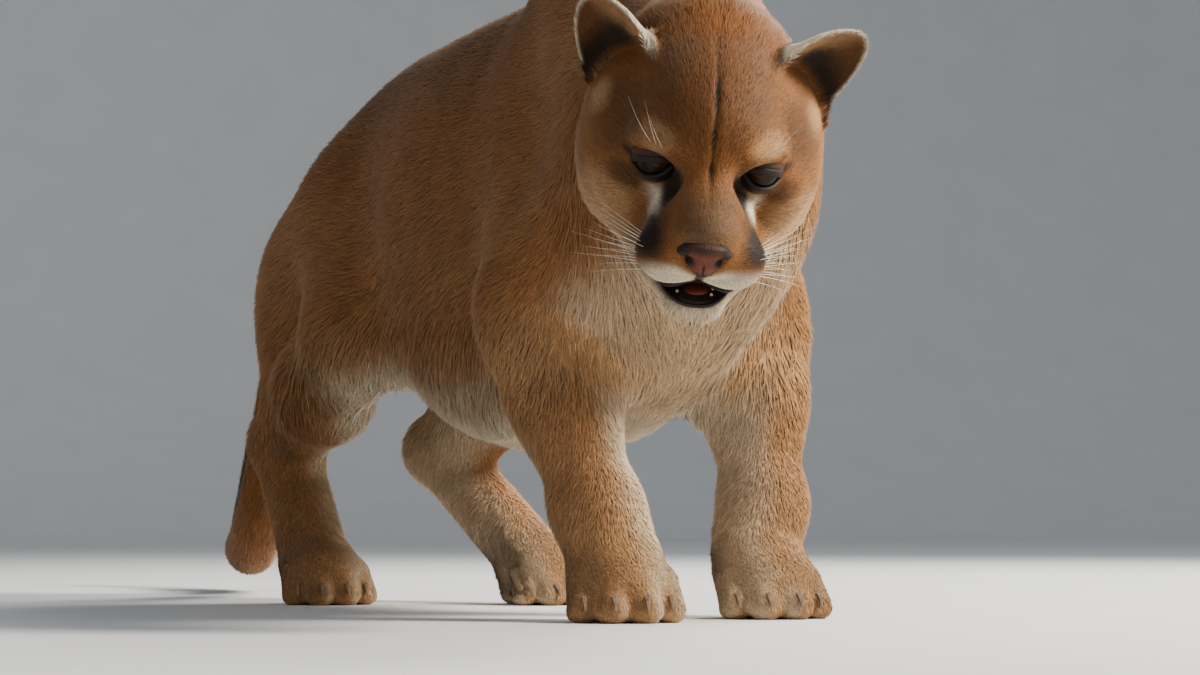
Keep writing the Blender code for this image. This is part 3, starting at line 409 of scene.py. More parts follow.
def ear_leaf(q):
    """Height over the sheet's middle, and the place from the middle (0) to the rim (1) of the ear."""
    rise, side, depth = ear_mm(q)
    share = np.clip(rise / EAR_LENGTH, -0.4, 1.2)
    bowl = 5.0 * np.maximum(share, 0.0) ** 2
    bowl = bowl - EAR_DEPTH * (1.0 - 0.62 * share) * (1.0 - (side / EAR_HALF) ** 2)
    return depth - bowl, np.sqrt((side / EAR_HALF) ** 2 + (np.maximum(rise, 0.0) / EAR_LENGTH) ** 2)


def head_share(q):
    """One in the head, zero behind it, with a soft step at the nape and under the jaw."""
    reach = np.sqrt((q[:, 0] / 1.08) ** 2 + (q[:, 1] * 0.62) ** 2 + ((q[:, 2] - 4) / 1.05) ** 2)
    return ease(96.0, 78.0, reach)


def ear_share(q):
    """One on the ear's sheet, down to where it sinks into the head, and zero away from it."""
    rise, side, depth = ear_mm(q)
    over, leaf = ear_leaf(q)
    near = ease(13.0, 6.0, np.abs(over)) * ease(1.45, 1.15, leaf) * ease(-15.0, -6.0, rise)
    tall = (np.abs(side) < EAR_HALF + 8) & (depth < 30) & (depth > -30)
    return np.maximum(near, np.where(tall, ease(6.0, 16.0, rise), 0.0))


def coat_depth(points, swell=0.0):
    """How deep the coat is, in metres: thin on face, ears and paws, thickest under the body.

    swell thickens the ears by that many millimetres, so that the coarse lattice finds them.
    """
    p = from_front(points)
    q = head_mm(points)
    deep = np.full(len(points), 4.5)
    under = ease(0.24, 0.17, p[:, 2]) * ease(0.02, 0.10, p[:, 1]) * ease(0.56, 0.46, p[:, 1])
    deep = deep + 3.0 * under * (np.abs(p[:, 0]) < 0.09)
    leg = ease(0.21, 0.13, p[:, 2]) * (1.0 - ease(0.62, 0.70, p[:, 1]) * ease(0.02, 0.03, p[:, 2]))
    leg = leg * (1.0 - under * (np.abs(p[:, 0]) < 0.05))
    deep = deep + (2.8 - deep) * leg
    deep = deep + (1.6 - deep) * ease(0.075, 0.03, p[:, 2]) * leg
    deep = deep + (0.0 - deep) * ease(0.014, 0.004, p[:, 2])
    on_tail = ease(0.72, 0.78, p[:, 1])
    deep = deep + (4.0 - deep) * on_tail
    face = 2.6 + 3.0 * ease(0.0, 60.0, q[:, 1]) - 1.2 * ease(-60.0, -88.0, q[:, 1])
    eye = np.sqrt((np.abs(q[:, 0]) - 35) ** 2 + (q[:, 1] + 46) ** 2 + (q[:, 2] - 20) ** 2)
    face = face + (0.5 - face) * ease(24.0, 15.0, eye)
    lips = np.sqrt((q[:, 0] / 1.7) ** 2 + ((q[:, 1] + 95) / 1.6) ** 2 + (q[:, 2] + 42) ** 2)
    face = face + (0.5 - face) * ease(17.0, 9.0, lips)
    leather = np.sqrt((q[:, 0] / 1.3) ** 2 + ((q[:, 1] + 116)) ** 2 + (q[:, 2] + 3) ** 2)
    face = face + (0.3 - face) * ease(24.0, 16.0, leather)
    deep = deep + (face - deep) * head_share(q)
    return (deep + (0.7 - swell - deep) * ear_share(q)) * MM


def eye_frame(side):
    """Rows: outward, back to front and up, of an eye that looks forward and a little aside."""
    front = Vector((side * 0.30, -1.0, -0.10)).normalized()
    up = (Vector((0.0, 0.0, 1.0)) - Vector((0.0, 0.0, 1.0)).dot(front) * front).normalized()
    out = up.cross(front) * -side
    tilt = math.radians(10.0)
    out, up = out * math.cos(tilt) + up * math.sin(tilt), up * math.cos(tilt) - out * math.sin(tilt)
    return np.array([out, front, up])


def sockets(q, d):
    """Skin distance d with an oval room cut along each eye's axis, q in head millimetres."""
    for side in (-1, 1):
        at = np.array([side * EYE_AT[0], EYE_AT[1], EYE_AT[2]]) / MM
        near = ((q - at) ** 2).sum(1) < 44.0**2
        local = (q[near] - at) @ eye_frame(side).T
        oval = np.sqrt((local[:, 0] / 14.0) ** 2 + ((local[:, 2] + 0.5) / 8.5) ** 2)
        room = np.maximum((oval - 1.0) * 8.5, 3.0 - local[:, 1])
        d[near] = carve(d[near] / MM, room, 2.5) * MM
    return d


def hide(points, swell=0.0):
    """Distance to the bare skin under the coat, with the eyes' rooms and the forehead's crease."""
    d = flesh(points) + coat_depth(points, swell).astype(np.float32)
    q = head_mm(points)
    near = (q**2).sum(1) < 150.0**2
    head, part = q[near], d[near]
    crease = np.exp(-((head[:, 0] / 2.2) ** 2)) * ease(20, 34, head[:, 2]) * ease(92, 70, head[:, 2])
    part = part + 0.0016 * crease * (head[:, 1] < 40)
    wing = head.copy()
    wing[:, 0] = np.abs(wing[:, 0])
    room = np.minimum(
        ellipsoid(wing, (8.5, -123.0, -3.0), (11.5, 14.0, 10.5)),
        ellipsoid(wing, (0.0, -122.0, -11.0), (6.5, 12.0, 11.0)),
    )
    part = carve(part / MM, room, 2.0) * MM
    d[near] = sockets(head, part)
    return d


def in_chunks(field, points):
    starts = range(0, len(points), CHUNK)
    return np.concatenate([field(points[i : i + CHUNK]) for i in starts])


def swollen_hide(points):
    return hide(points, 3.2)


def level_surface(low, high, cell):
    """Vertices and quads of hide = 0. Blocks far from the surface take their middle's value."""
    blocks = np.ceil((np.array(high) - low) / (cell * BLOCK)).astype(int)
    axes = [low[i] + (np.arange(blocks[i]) * BLOCK + (BLOCK - 1) / 2) * cell for i in range(3)]
    middles = np.stack(np.meshgrid(*axes, indexing="ij"), -1).reshape(-1, 3).astype(np.float32)
    values = in_chunks(swollen_hide, middles)
    full = np.repeat(values[:, None], BLOCK**3, 1)
    near = np.abs(values) < cell * BLOCK * 1.5
    step = (np.arange(BLOCK) - (BLOCK - 1) / 2) * cell
    offsets = np.stack(np.meshgrid(step, step, step, indexing="ij"), -1).reshape(-1, 3)
    fine = (middles[near][:, None, :] + offsets.astype(np.float32)).reshape(-1, 3)
    full[near] = in_chunks(swollen_hide, fine).reshape(-1, BLOCK**3)
    lattice = full.reshape(*blocks, BLOCK, BLOCK, BLOCK).transpose(0, 3, 1, 4, 2, 5)
    lattice = np.ascontiguousarray(lattice.reshape(blocks * BLOCK), np.float32)
    grid = openvdb.FloatGrid(background=float(cell * 3))
    grid.copyFromArray(lattice)
    points, quads = grid.convertToQuads(isovalue=0.0)
    return points * cell + np.array(low), quads[:, ::-1]


def settled(points, rounds=2):
    """Points moved onto hide = 0, by steps along its slope, none longer than 2.5 mm."""
    p = points.astype(np.float32)
    h = np.float32(0.0005)
    for _ in range(rounds):
        d = in_chunks(hide, p)
        slope = [in_chunks(hide, p + h * axis) - d for axis in np.eye(3, dtype=np.float32)]
        slope = np.stack(slope, 1) / h
        step = slope * (d / np.maximum((slope * slope).sum(1), 0.3))[:, None]
        size = np.sqrt((step * step).sum(1))[:, None]
        p = p - step * np.minimum(1.0, 0.0025 / np.maximum(size, 1e-9))
    return p


def piece(name, points, faces, smooth=True):
    """A mesh object from arrays of points and of faces with three or four corners each."""
    mesh = bpy.data.meshes.new(name)
    count, corners = faces.shape
    mesh.vertices.add(len(points))
    mesh.vertices.foreach_set("co", np.asarray(points, np.float32).ravel())
    mesh.loops.add(count * corners)
    mesh.loops.foreach_set("vertex_index", faces.astype(np.int32).ravel())
    mesh.polygons.add(count)
    mesh.polygons.foreach_set("loop_start", np.arange(0, count * corners, corners, dtype=np.int32))
    mesh.update(calc_edges=True)
    if smooth:
        mesh.shade_smooth()
    made = bpy.data.objects.new(name, mesh)
    bpy.context.scene.collection.objects.link(made)
    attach(made, "root")
    return made


def vertex_arrays(mesh):
    points = np.empty(len(mesh.vertices) * 3, np.float32)
    mesh.vertices.foreach_get("co", points)
    normals = np.empty(len(mesh.vertices) * 3, np.float32)
    mesh.vertex_normals.foreach_get("vector", normals)
    return points.reshape(-1, 3), normals.reshape(-1, 3)


def skin():
    """The whole skin as one mesh, its head and paws divided once more and its face twice."""
    low = np.array(placed(-0.26, -0.40, -0.014))
    high = np.array(placed(0.26, 1.28, 0.56))
    points, quads = level_surface(low, high, CELL)
    points = settled(points)
    bm = bmesh.new()
    mesh = bpy.data.meshes.new("draft")
    mesh.from_pydata(points.tolist(), [], quads.tolist())
    bm.from_mesh(mesh)
    for level in (1, 2):
        co = np.array([v.co[:] for v in bm.verts], np.float32)
        q, p = head_mm(co), from_front(co)
        reach = np.sqrt((q**2).sum(1))
        if level == 1:
            wanted = (reach < 150) & (q[:, 1] < 75)
            wanted |= (p[:, 2] < 0.070) & (p[:, 1] < 0.70)
        else:
            wanted = (reach < 150) & (q[:, 1] < -14) & (np.abs(q[:, 0]) < 66)
            wanted &= (q[:, 2] < 45) | (np.abs(q[:, 0]) < 12)
            wanted &= (q[:, 2] > -20) | (q[:, 1] < -45)
            wanted |= ear_share(q) > 0.02
        bm.verts.ensure_lookup_table()
        bm.edges.ensure_lookup_table()
        edges = [e for e in bm.edges if wanted[e.verts[0].index] and wanted[e.verts[1].index]]
        bmesh.ops.subdivide_edges(bm, edges=edges, cuts=1, use_grid_fill=True)
        bm.verts.index_update()
        co = np.array([v.co[:] for v in bm.verts], np.float32)
        q, p = head_mm(co), from_front(co)
        moving = ((q**2).sum(1) < 160**2) | (p[:, 2] < 0.09)
        co[moving] = settled(co[moving], 3)
        for v, place in zip(bm.verts, co.tolist()):
            v.co = place
    bmesh.ops.triangulate(bm, faces=[f for f in bm.faces if len(f.verts) > 4])
    bmesh.ops.recalc_face_normals(bm, faces=bm.faces)
    for v in bm.verts:
        v.co.z = max(v.co.z, 0.0)
    mesh = bpy.data.meshes.new("skin")
    bm.to_mesh(mesh)
    bm.free()
    mesh.shade_smooth()
    made = bpy.data.objects.new("skin", mesh)
    bpy.context.scene.collection.objects.link(made)
    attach(made, "root")
    return made


def mixed(colour, other, share):
    return colour + (np.asarray(other) - colour) * np.asarray(share)[:, None]


def blot(q, centre, radii, soft=0.45):
    """One inside an ellipsoid, fading out over its edge; x counts from the middle of the face."""
    m = q.copy()
    m[:, 0] = np.abs(m[:, 0])
    far = np.sqrt((((m - np.array(centre)) / np.array(radii)) ** 2).sum(1))
    return ease(1.0 + soft, 1.0 - soft, far)


TAWNY = (0.280, 0.122, 0.042)
# Dark brown of the back, which also serves as painted shade along the back
DORSAL_AND_SHADE = (0.125, 0.052, 0.021)
FLANK = (0.345, 0.165, 0.066)
PALE = (0.55, 0.345, 0.185)
CREAM = (0.76, 0.66, 0.50)
SOOT = (0.028, 0.020, 0.016)
UMBER = (0.105, 0.052, 0.026)


def coat_colour(points, normals):
    """The coat's colour at each point, from its height on the body and marks placed on the face, with a darker back
    that is partly painted shade and a nape painted paler as if lit.
    """
    p = from_front(points)
    q = head_mm(points)
    y = np.clip(p[:, 1], TRUNK_CURVES[0, 0], TRUNK_CURVES[-1, 0])
    top, bottom = (np.interp(y, TRUNK_CURVES[:, 0], TRUNK_CURVES[:, i]) for i in (1, 2))
    high = (p[:, 2] - bottom) / (top - bottom)
    colour = np.tile(np.array(FLANK), (len(p), 1))
    colour = mixed(colour, TAWNY, ease(0.35, 0.75, high))
    # Darker along the back: partly the coat's own darker back, partly painted shade over the back and rump
    colour = mixed(colour, DORSAL_AND_SHADE, 0.75 * ease(0.62, 0.98, high) * ease(0.12, 0.04, np.abs(p[:, 0])))
    outer = ease(-0.1, 0.5, normals[:, 0] * np.sign(p[:, 0])) * ease(0.40, 0.48, p[:, 1])
    kept = 1.0 - 0.9 * outer
    colour = mixed(colour, PALE, kept * ease(0.30, 0.05, high) * (0.85 - 0.55 * ease(0.24, 0.15, p[:, 2])))
    # Painted light: the nape and withers behind the head painted paler, as if lit
    nape = ease(0.13, 0.06, np.abs(p[:, 1] - 0.01)) * ease(0.38, 0.43, p[:, 2])
    colour = mixed(colour, FLANK, 0.75 * nape)
    kept = kept * ease(-0.25, -0.05, high)
    colour = mixed(colour, CREAM, kept * ease(-0.2, -0.8, normals[:, 2]) * ease(0.4, 0.1, high) * 0.8)
    chest = ease(0.16, 0.02, p[:, 1]) * ease(0.36, 0.26, p[:, 2]) * ease(0.09, 0.03, np.abs(p[:, 0]))
    colour = mixed(colour, PALE, chest * 0.65)
    inner = np.where(p[:, 2] < 0.24, ease(0.1, -0.7, normals[:, 0] * np.sign(p[:, 0])), 0.0)
    colour = mixed(colour, CREAM, 0.6 * inner)
    colour = mixed(colour, PALE, 0.30 * ease(0.16, 0.04, p[:, 2]) * (p[:, 1] < 0.72))
    on_tail = ease(0.70, 0.76, p[:, 1])
    tail_tone = mixed(np.tile(np.array(TAWNY), (len(p), 1)), UMBER, 0.6 * ease(-0.2, 0.8, normals[:, 2]))
    tail_tone = mixed(tail_tone, SOOT, ease(1.08, 1.13, p[:, 1]))
    colour = colour + (tail_tone - colour) * on_tail[:, None]
    share = np.maximum(head_share(q), ear_share(q))[:, None]
    return colour + (face_colour(q, normals) - colour) * share


def face_colour(q, normals):
    """The head's colours in its own space: crown, cheeks, brows, muzzle, chin, marks and ears, with painted shade
    round the eyes, in the ears' cups and in the mouth, and partly in the dark tear lines.
    """
    face = np.tile(np.array(TAWNY), (len(q), 1))
    x = np.abs(q[:, 0])
    face = mixed(face, UMBER, 0.50 * blot(q, (16, 0, 62), (26, 60, 34)))
    # Painted shade: the back of the crown darker, against the painted lit nape
    face = mixed(face, (0.235, 0.088, 0.026), 0.8 * ease(20, 50, q[:, 1]) * ease(30, 60, q[:, 2]))
    face = mixed(face, FLANK, 0.6 * blot(q, (74, 20, -8), (34, 70, 40)))
    face = mixed(face, PALE, 0.55 * blot(q, (37, -44, 42), (15, 18, 8)))
    # Painted shade: darker brown between the eye and the ear
    face = mixed(face, UMBER, 0.5 * blot(q, (64, -4, 34), (24, 30, 22)))
    face = mixed(face, (0.175, 0.108, 0.062), 0.9 * blot(q, (0, -84, 8), (19, 46, 17)))
    face = mixed(face, PALE, 0.7 * blot(q, (60, -26, -14), (20, 26, 16)))
    face = mixed(face, PALE, 0.85 * blot(q, (56, 0, -46), (44, 60, 26)))
    face = mixed(face, CREAM, 0.9 * blot(q, (0, -40, -62), (48, 62, 24)))
    # Painted shade: dark brown below and behind the eye, for the shaded socket
    face = mixed(face, UMBER, 0.7 * blot(q, (54, -40, 6), (18, 14, 8)))
    face = mixed(face, CREAM, 0.98 * blot(q, (36, -60, 0), (13, 17, 10)))
    # Black from the eye's inner corner down the nose's side to the whisker pad: the coat's own tear line and
    # moustache mark, painted wider and darker with painted shade
    face = mixed(face, SOOT, 0.85 * blot(q, (22.5, -54, 12), (7, 18, 12)))
    face = mixed(face, SOOT, 0.95 * blot(q, (23, -70, 2), (6.5, 22, 10)))
    face = mixed(face, SOOT, 0.96 * blot(q, (35, -86, -8), (14, 23, 12)))
    face = mixed(face, CREAM, 0.97 * blot(q, (18, -108, -26), (21, 17, 11)))
    face = mixed(face, CREAM, 0.97 * blot(q, (0, -94, -62), (30, 22, 13)))
    # Black round the eye: the lids' own dark rim, and painted shade of the socket under the brow
    face = mixed(face, SOOT, 0.95 * blot(q, (34, -48, 21), (18.5, 14, 11), 0.22))
    face = mixed(face, SOOT, 0.8 * blot(q, (53, -36, 20), (9, 12, 3.5)))
    line = ease(2.4, 0.8, x + 0.8 * np.sin(q[:, 2] * 0.35)) * ease(24, 34, q[:, 2])
    face = mixed(face, SOOT, 0.8 * line * ease(84, 70, q[:, 2]) * (q[:, 1] < 40))
    cleft = ease(-15, -20, q[:, 2]) * ease(-42, -39, q[:, 2]) * (q[:, 1] < -95)
    face = mixed(face, SOOT, 0.95 * ease(2.4, 0.8, x) * cleft)
    # Black over the open mouth: the lips' own black, and painted shade inside the mouth
    mouth = blot(q, (0, -84, -43.5), (28, 25.5, 9.5), 0.22)
    face = mixed(face, SOOT, 0.95 * mouth)
    face = mixed(face, PALE, 0.75 * blot(q, (80, 20, 34), (14, 16, 14)))
    rise, side, depth = ear_mm(q)
    over, leaf = ear_leaf(q)
    ears = ear_share(q)
    back = mixed(np.tile(np.array(UMBER), (len(q), 1)), SOOT, 0.85 * ease(40, 6, rise))
    inner = mixed(np.tile(np.array(TAWNY), (len(q), 1)), UMBER, 0.65 + 0 * side)
    inner = mixed(inner, PALE, 0.45 * ease(0.25, 0.6, leaf) * ease(4, 18, rise) * ease(8, -10, side))
    # Painted shade: the deep base of the ear's cup near black
    inner = mixed(inner, SOOT, 0.93 * ease(38, 14, rise + 0.4 * np.abs(side)) * ease(-18, -6, side))
    inner = mixed(inner, PALE, 0.5 * ease(2, -12, rise) * ease(-6, -16, side))
    tone = back + (inner - back) * ease(0.0, 1.5, over)[:, None]
    tone = mixed(tone, CREAM, 0.85 * ease(0.88, 0.96, leaf) * ease(2, 10, rise))
    return face + (tone - face) * ears[:, None]


def coat_lie(points, normals):
    """The way that the hair lies at each point, along the skin."""
    p = from_front(points)
    q = head_mm(points)
    high = ease(0.15, 0.45, p[:, 2])
    way = np.stack([0 * high, 1.0 + 0 * high, -0.95 + 0.75 * high], 1)
    limb = ease(0.27, 0.19, p[:, 2])[:, None]
    way = way * (1 - limb) + np.array([0.0, 0.25, -1.0]) * limb
    chest = (ease(0.05, -0.04, p[:, 1]) * ease(0.42, 0.34, p[:, 2]))[:, None]
    way = way * (1 - chest) + np.array([0.0, 0.1, -1.0]) * chest
    paw = (ease(0.075, 0.045, p[:, 2]) * ease(0.70, 0.6, p[:, 1]))[:, None]
    way = way * (1 - paw) + np.array([0.0, -0.9, -0.45]) * paw
    route = TAIL_ROUTE[:, :3]
    near = np.abs(p[:, None, :] - route[None, ::3]).sum(2).argmin(1) * 3
    along = np.gradient(route, axis=0)[np.minimum(near, len(route) - 1)]
    along = along / np.linalg.norm(along, axis=1)[:, None]
    on_tail = ease(0.69, 0.74, p[:, 1])[:, None]
    way = way * (1 - on_tail) + along * on_tail
    x = q[:, 0]
    side = np.sign(x)
    head = np.stack([0.012 * x, 1.0 + 0 * x, 0.25 * ease(-20, 30, q[:, 2]) - 0.3 * ease(10, -30, q[:, 2])], 1)
    muzzle = (ease(-70, -95, q[:, 1]) * ease(4, -12, q[:, 2]))[:, None]
    outward = np.stack([side * 0.9, 0.35 + 0 * x, -0.35 + 0 * x], 1)
    head = head * (1 - muzzle) + outward * muzzle
    chin = (ease(-46, -54, q[:, 2]) * ease(-30, -60, q[:, 1]))[:, None]
    head = head * (1 - chin) + np.array([0.0, 0.35, -0.9]) * chin
    ears = ear_share(q)[:, None]
    up = np.where(x[:, None] > 0, EAR_AXES[1][0], EAR_AXES[-1][0] * np.array([-1.0, 1.0, 1.0]))
    head = head * (1 - ears) + up * ears
    turn = np.array(HEAD.to_3x3())
    share = np.maximum(head_share(q), ear_share(q))[:, None]
    way = way * (1 - share) + (head @ turn.T) * share
    way = way - (way * normals).sum(1)[:, None] * normals
    return way / np.maximum(np.linalg.norm(way, axis=1), 1e-6)[:, None]


def coat_size(points):
    """Length and width of a tuft at each point, in metres."""
    p = from_front(points)
    q = head_mm(points)
    long = np.full(len(p), 15.0)
    low = ease(0.30, 0.18, p[:, 2]) * ease(-0.02, 0.06, p[:, 1]) * ease(0.60, 0.5, p[:, 1])
    long = long + 8.0 * low
    front = ease(0.06, -0.03, p[:, 1]) * ease(0.38, 0.30, p[:, 2])
    long = long + 8.0 * front
    leg = ease(0.20, 0.13, p[:, 2]) * ease(0.70, 0.66, p[:, 1])
    long = long + (9.0 - long) * leg
    long = long + (5.0 - long) * ease(0.07, 0.03, p[:, 2]) * leg
    wide = 0.90 + 0.035 * long
    face = 6.0 + 6.0 * ease(0.0, 60.0, q[:, 1]) + 5.0 * ease(-10, -50, q[:, 2]) * ease(-50, 0, q[:, 1])
    face = face + (3.6 - face) * ease(-50.0, -80.0, q[:, 1])
    eye = np.sqrt((np.abs(q[:, 0]) - 35) ** 2 + (q[:, 1] + 46) ** 2 + (q[:, 2] - 20) ** 2)
    face = face + (3.0 - face) * ease(30.0, 16.0, eye)
    root = np.sqrt((np.abs(q[:, 0]) - 60) ** 2 + (q[:, 1] - 42) ** 2 + (q[:, 2] - 50) ** 2)
    face = face + (5.0 - face) * ease(38.0, 24.0, root)
    rise, side, depth = ear_mm(q)
    ears = ear_share(q)
    over, leaf = ear_leaf(q)
    face = face + (4.2 + 4.5 * ease(0.5, 4.0, over) * ease(0.3, 0.7, leaf) * ease(12, -6, side) - face) * ears
    share = np.maximum(head_share(q), ears)
    long = long + (face - long) * share
    wide = wide + (0.40 + 0.050 * face - wide) * share
    return long * MM, wide * MM


def region(points):
    """The coat's pieces: 0 face, 1 crown and ears, 2 neck, 3 shoulders, 4 flanks, 5 rump, 6 forelegs,
    7 hind legs, 8 tail."""
    p = from_front(points)
    q = head_mm(points)
    part = np.select([p[:, 1] < 0.20, p[:, 1] < 0.44], [3, 4], 5)
    part = np.where((p[:, 1] < 0.06) & (p[:, 2] > 0.26), 2, part)
    part = np.where(p[:, 2] < 0.19, np.where(p[:, 1] < 0.28, 6, 7), part)
    part = np.where((part == 6) & (np.abs(p[:, 0]) < 0.02), 3, part)
    part = np.where((p[:, 2] > 0.12) & (p[:, 1] > 0.15) & (p[:, 1] < 0.42) & (part > 5), 4, part)
    part = np.where(p[:, 1] > 0.72, 8, part)
    share = np.maximum(head_share(q), ear_share(q))
    return np.where(share > 0.5, np.where(q[:, 1] < 8, 0, 1), part)


COATS = (
    ("coat_face", 49000),
    ("coat_crown", 46000),
    ("coat_neck", 40000),
    ("coat_shoulders", 49000),
    ("coat_flanks", 49000),
    ("coat_rump", 49000),
    ("coat_forelegs", 44000),
    ("coat_hind_legs", 32000),
    ("coat_tail", 15000),
)


def unwrapped(points, part):
    """Places on a flat unwrap of the skin: a strip for each part, around it and along it."""
    p = from_front(points)
    q = head_mm(points)
    around = np.arctan2(p[:, 0], p[:, 2] - 0.30)
    along = p[:, 1] / 1.3
    around = np.where(part < 2, np.arctan2(q[:, 0], q[:, 2]), around)
    along = np.where(part < 2, (q[:, 1] + 130) / 260, along + 0.12)
    limb = (part == 6) | (part == 7)
    foot_x = np.where(p[:, 0] > 0, 0.09, -0.09)
    foot_y = np.where(part == 6, 0.03, 0.55)
    around = np.where(limb, np.arctan2(p[:, 0] - foot_x, p[:, 1] - foot_y), around)
    along = np.where(limb, p[:, 2] / 0.26 * 0.45 + 0.5 * (p[:, 0] > 0), along)
    strip = np.array([0, 0, 1, 2, 3, 4, 5, 6, 7])[part]
    u = 0.006 + (strip + 0.02 + 0.94 * (around / (2 * np.pi) + 0.5)) / 8.0 * 0.985
    v = 0.006 + 0.985 * np.clip(along, 0.0, 1.0)
    return np.stack([u, v], 1)


def tufts(name, rng, roots, normals, part):
    """Closed blades of hair: a low three-sided section carried along the hair and drawn to a tip.

    Each blade has two corners at its root, a ridge that rises above them a little way along, and
    a tip that lies length times the hair's way from the root, lifted by the coat's depth.
    """
    count = len(roots)
    ways = coat_lie(roots, normals)
    across = np.cross(ways, normals)
    swing = rng.normal(0.0, 0.16, count)[:, None]
    ways = ways * np.cos(swing) + across * np.sin(swing)
    across = np.cross(ways, normals)
    long, wide = coat_size(roots)
    long = long * rng.uniform(0.7, 1.2, count)
    wide = wide * rng.uniform(0.75, 1.25, count)
    deep = coat_depth(roots)
    rise = np.minimum(deep * rng.uniform(0.45, 0.95, count), 0.45 * long)
    bend = rng.normal(0.0, 0.10, count) * long
    tip = roots + ways * (long * 0.94)[:, None] + normals * rise[:, None] + across * bend[:, None]
    base = roots - normals * (0.15 * deep)[:, None]
    half = across * (wide / 2)[:, None]
    ridge = base + normals * (wide * 0.30 + 0.30 * rise)[:, None] + ways * (0.22 * long)[:, None]
    points = np.stack([base - half, base + half, ridge, tip], 1)
    points[..., 2] = np.maximum(points[..., 2], 0.0002)
    size = 4
    faces = np.array([(0, 1, 2), (1, 0, 3), (2, 1, 3), (0, 2, 3)])
    faces = faces[None] + (np.arange(count) * size)[:, None, None]
    made = piece(name, points.reshape(-1, 3), faces.reshape(-1, 3))
    along = np.array([0.0, 0.0, 0.45, 1.0])
    colour = coat_colour(roots, normals)
    tone = rng.normal(0.0, 0.13, count)
    colour = colour * np.exp(tone)[:, None]
    # Painted shade: each blade darker at its root, among the other blades, and lighter toward its tip
    shade = 0.80 + 0.30 * along
    tint = colour[:, None, :] * shade[None, :, None]
    paint(made, tint.reshape(-1, 3))
    soft = np.repeat(normals[:, None, :], size, 1).reshape(-1, 3)
    _, own = vertex_arrays(made.data)
    soft = soft * 0.85 + own * 0.40
    soft = soft / np.linalg.norm(soft, axis=1)[:, None]
    made.data.normals_split_custom_set_from_vertices(soft.tolist())
    place = unwrapped(roots, part)
    offset = np.array([(-0.5, 0), (0.5, 0), (0, 0.45), (0, 1.0)]) * 0.003
    uv = (place[:, None, :] + offset[None, :size]).reshape(-1, 2)
    layer = made.data.uv_layers.new(name="OFBake")
    layer.data.foreach_set("uv", uv[faces.reshape(-1)].astype(np.float32).ravel())
    return made


def paint(thing, colours):
    """Store a colour for each point of a mesh, as the attribute Tone."""
    layer = thing.data.color_attributes.new("Tone", "FLOAT_COLOR", "POINT")
    full = np.ones((len(colours), 4), np.float32)
    full[:, :3] = np.clip(colours, 0.0, 1.0)
    layer.data.foreach_set("color", full.ravel())


def spread(mesh, rng, counts):
    """Roots spread evenly over the skin, with their normals and their part of the coat."""
    points, normals = vertex_arrays(mesh)
    mesh.calc_loop_triangles()
    corner = np.empty(len(mesh.loop_triangles) * 3, np.int32)
    mesh.loop_triangles.foreach_get("vertices", corner)
    corner = corner.reshape(-1, 3)
    a, b, c = (points[corner[:, i]] for i in range(3))
    area = np.linalg.norm(np.cross(b - a, c - a), axis=1) / 2
    middle = (a + b + c) / 3
    part = region(middle)
    q = head_mm(middle)
    facing = normals[corner].mean(1)
    long, wide = coat_size(middle)
    weight = area / (long * wide)
    weight[middle[:, 2] < 0.003] = 0.0
    eye = np.sqrt((np.abs(q[:, 0]) - 35) ** 2 + (q[:, 1] + 47) ** 2 + (q[:, 2] - 20) ** 2)
    weight[eye < 15.5] = 0.0
    leather = (np.abs(q[:, 0]) < 18) & (q[:, 1] < -106) & (q[:, 2] > -12) & (q[:, 2] < 9)
    weight[leather] = 0.0
    inside = (np.abs(q[:, 0]) < 27) & (q[:, 1] < -60) & (q[:, 2] > -48.5) & (q[:, 2] < -38)
    weight[inside] = 0.0
    chosen = []
    for index, count in enumerate(counts):
        own = np.flatnonzero((part == index) & (weight > 0))
        total = np.cumsum(weight[own])
        spots = (np.arange(count) + rng.uniform(0, 1, count)) / count * total[-1]
        face = own[np.minimum(np.searchsorted(total, spots), len(own) - 1)]
        u, v = rng.uniform(0, 1, (2, count, 1))
        over = (u + v) > 1
        u, v = np.where(over, 1 - u, u), np.where(over, 1 - v, v)
        root = a[face] + (b - a)[face] * u + (c - a)[face] * v
        n0, n1, n2 = (normals[corner[face, i]] for i in range(3))
        normal = n0 + (n1 - n0) * u + (n2 - n0) * v
        normal = normal / np.linalg.norm(normal, axis=1)[:, None]
        chosen.append((root, normal, np.full(count, index)))
    return chosen


def around_eye(side, across, height, radius):
    """Points at an angle across and an angle up from an eye's axis, radius millimetres out."""
    a, h = np.radians(across), np.radians(height)
    local = np.stack([np.sin(a) * np.cos(h), np.cos(a) * np.cos(h), np.sin(h)], -1)
    middle = np.array([side * EYE_AT[0], EYE_AT[1], EYE_AT[2]]) / MM
    return middle + (local * np.asarray(radius)[..., None]) @ eye_frame(side)


def in_head(points_mm):
    """Points of head space in millimetres, in the part's frame, in metres."""
    turn = np.array(HEAD.to_3x3())
    return np.asarray(points_mm) * MM @ turn.T + np.array(HEAD.translation)


def grid_faces(rows, columns, closed=False):
    """Quads of a grid of rows by columns points, whose columns may close into a ring."""
    index = np.arange(rows * columns).reshape(rows, columns)
    nexts = np.roll(index, -1, 1) if closed else index[:, 1:]
    first = index if closed else index[:, :-1]
    quads = [first[:-1], nexts[:-1], nexts[1:], first[1:]]
    return np.stack(quads, -1).reshape(-1, 4)


def closed_piece(name, points, faces):
    """A piece whose faces are turned outward and whose doubled points are merged."""
    made = piece(name, points, faces)
    bm = bmesh.new()
    bm.from_mesh(made.data)
    bmesh.ops.remove_doubles(bm, verts=bm.verts, dist=1e-7)
    bmesh.ops.recalc_face_normals(bm, faces=bm.faces)
    bm.to_mesh(made.data)
    bm.free()
    made.data.shade_smooth()
    return made


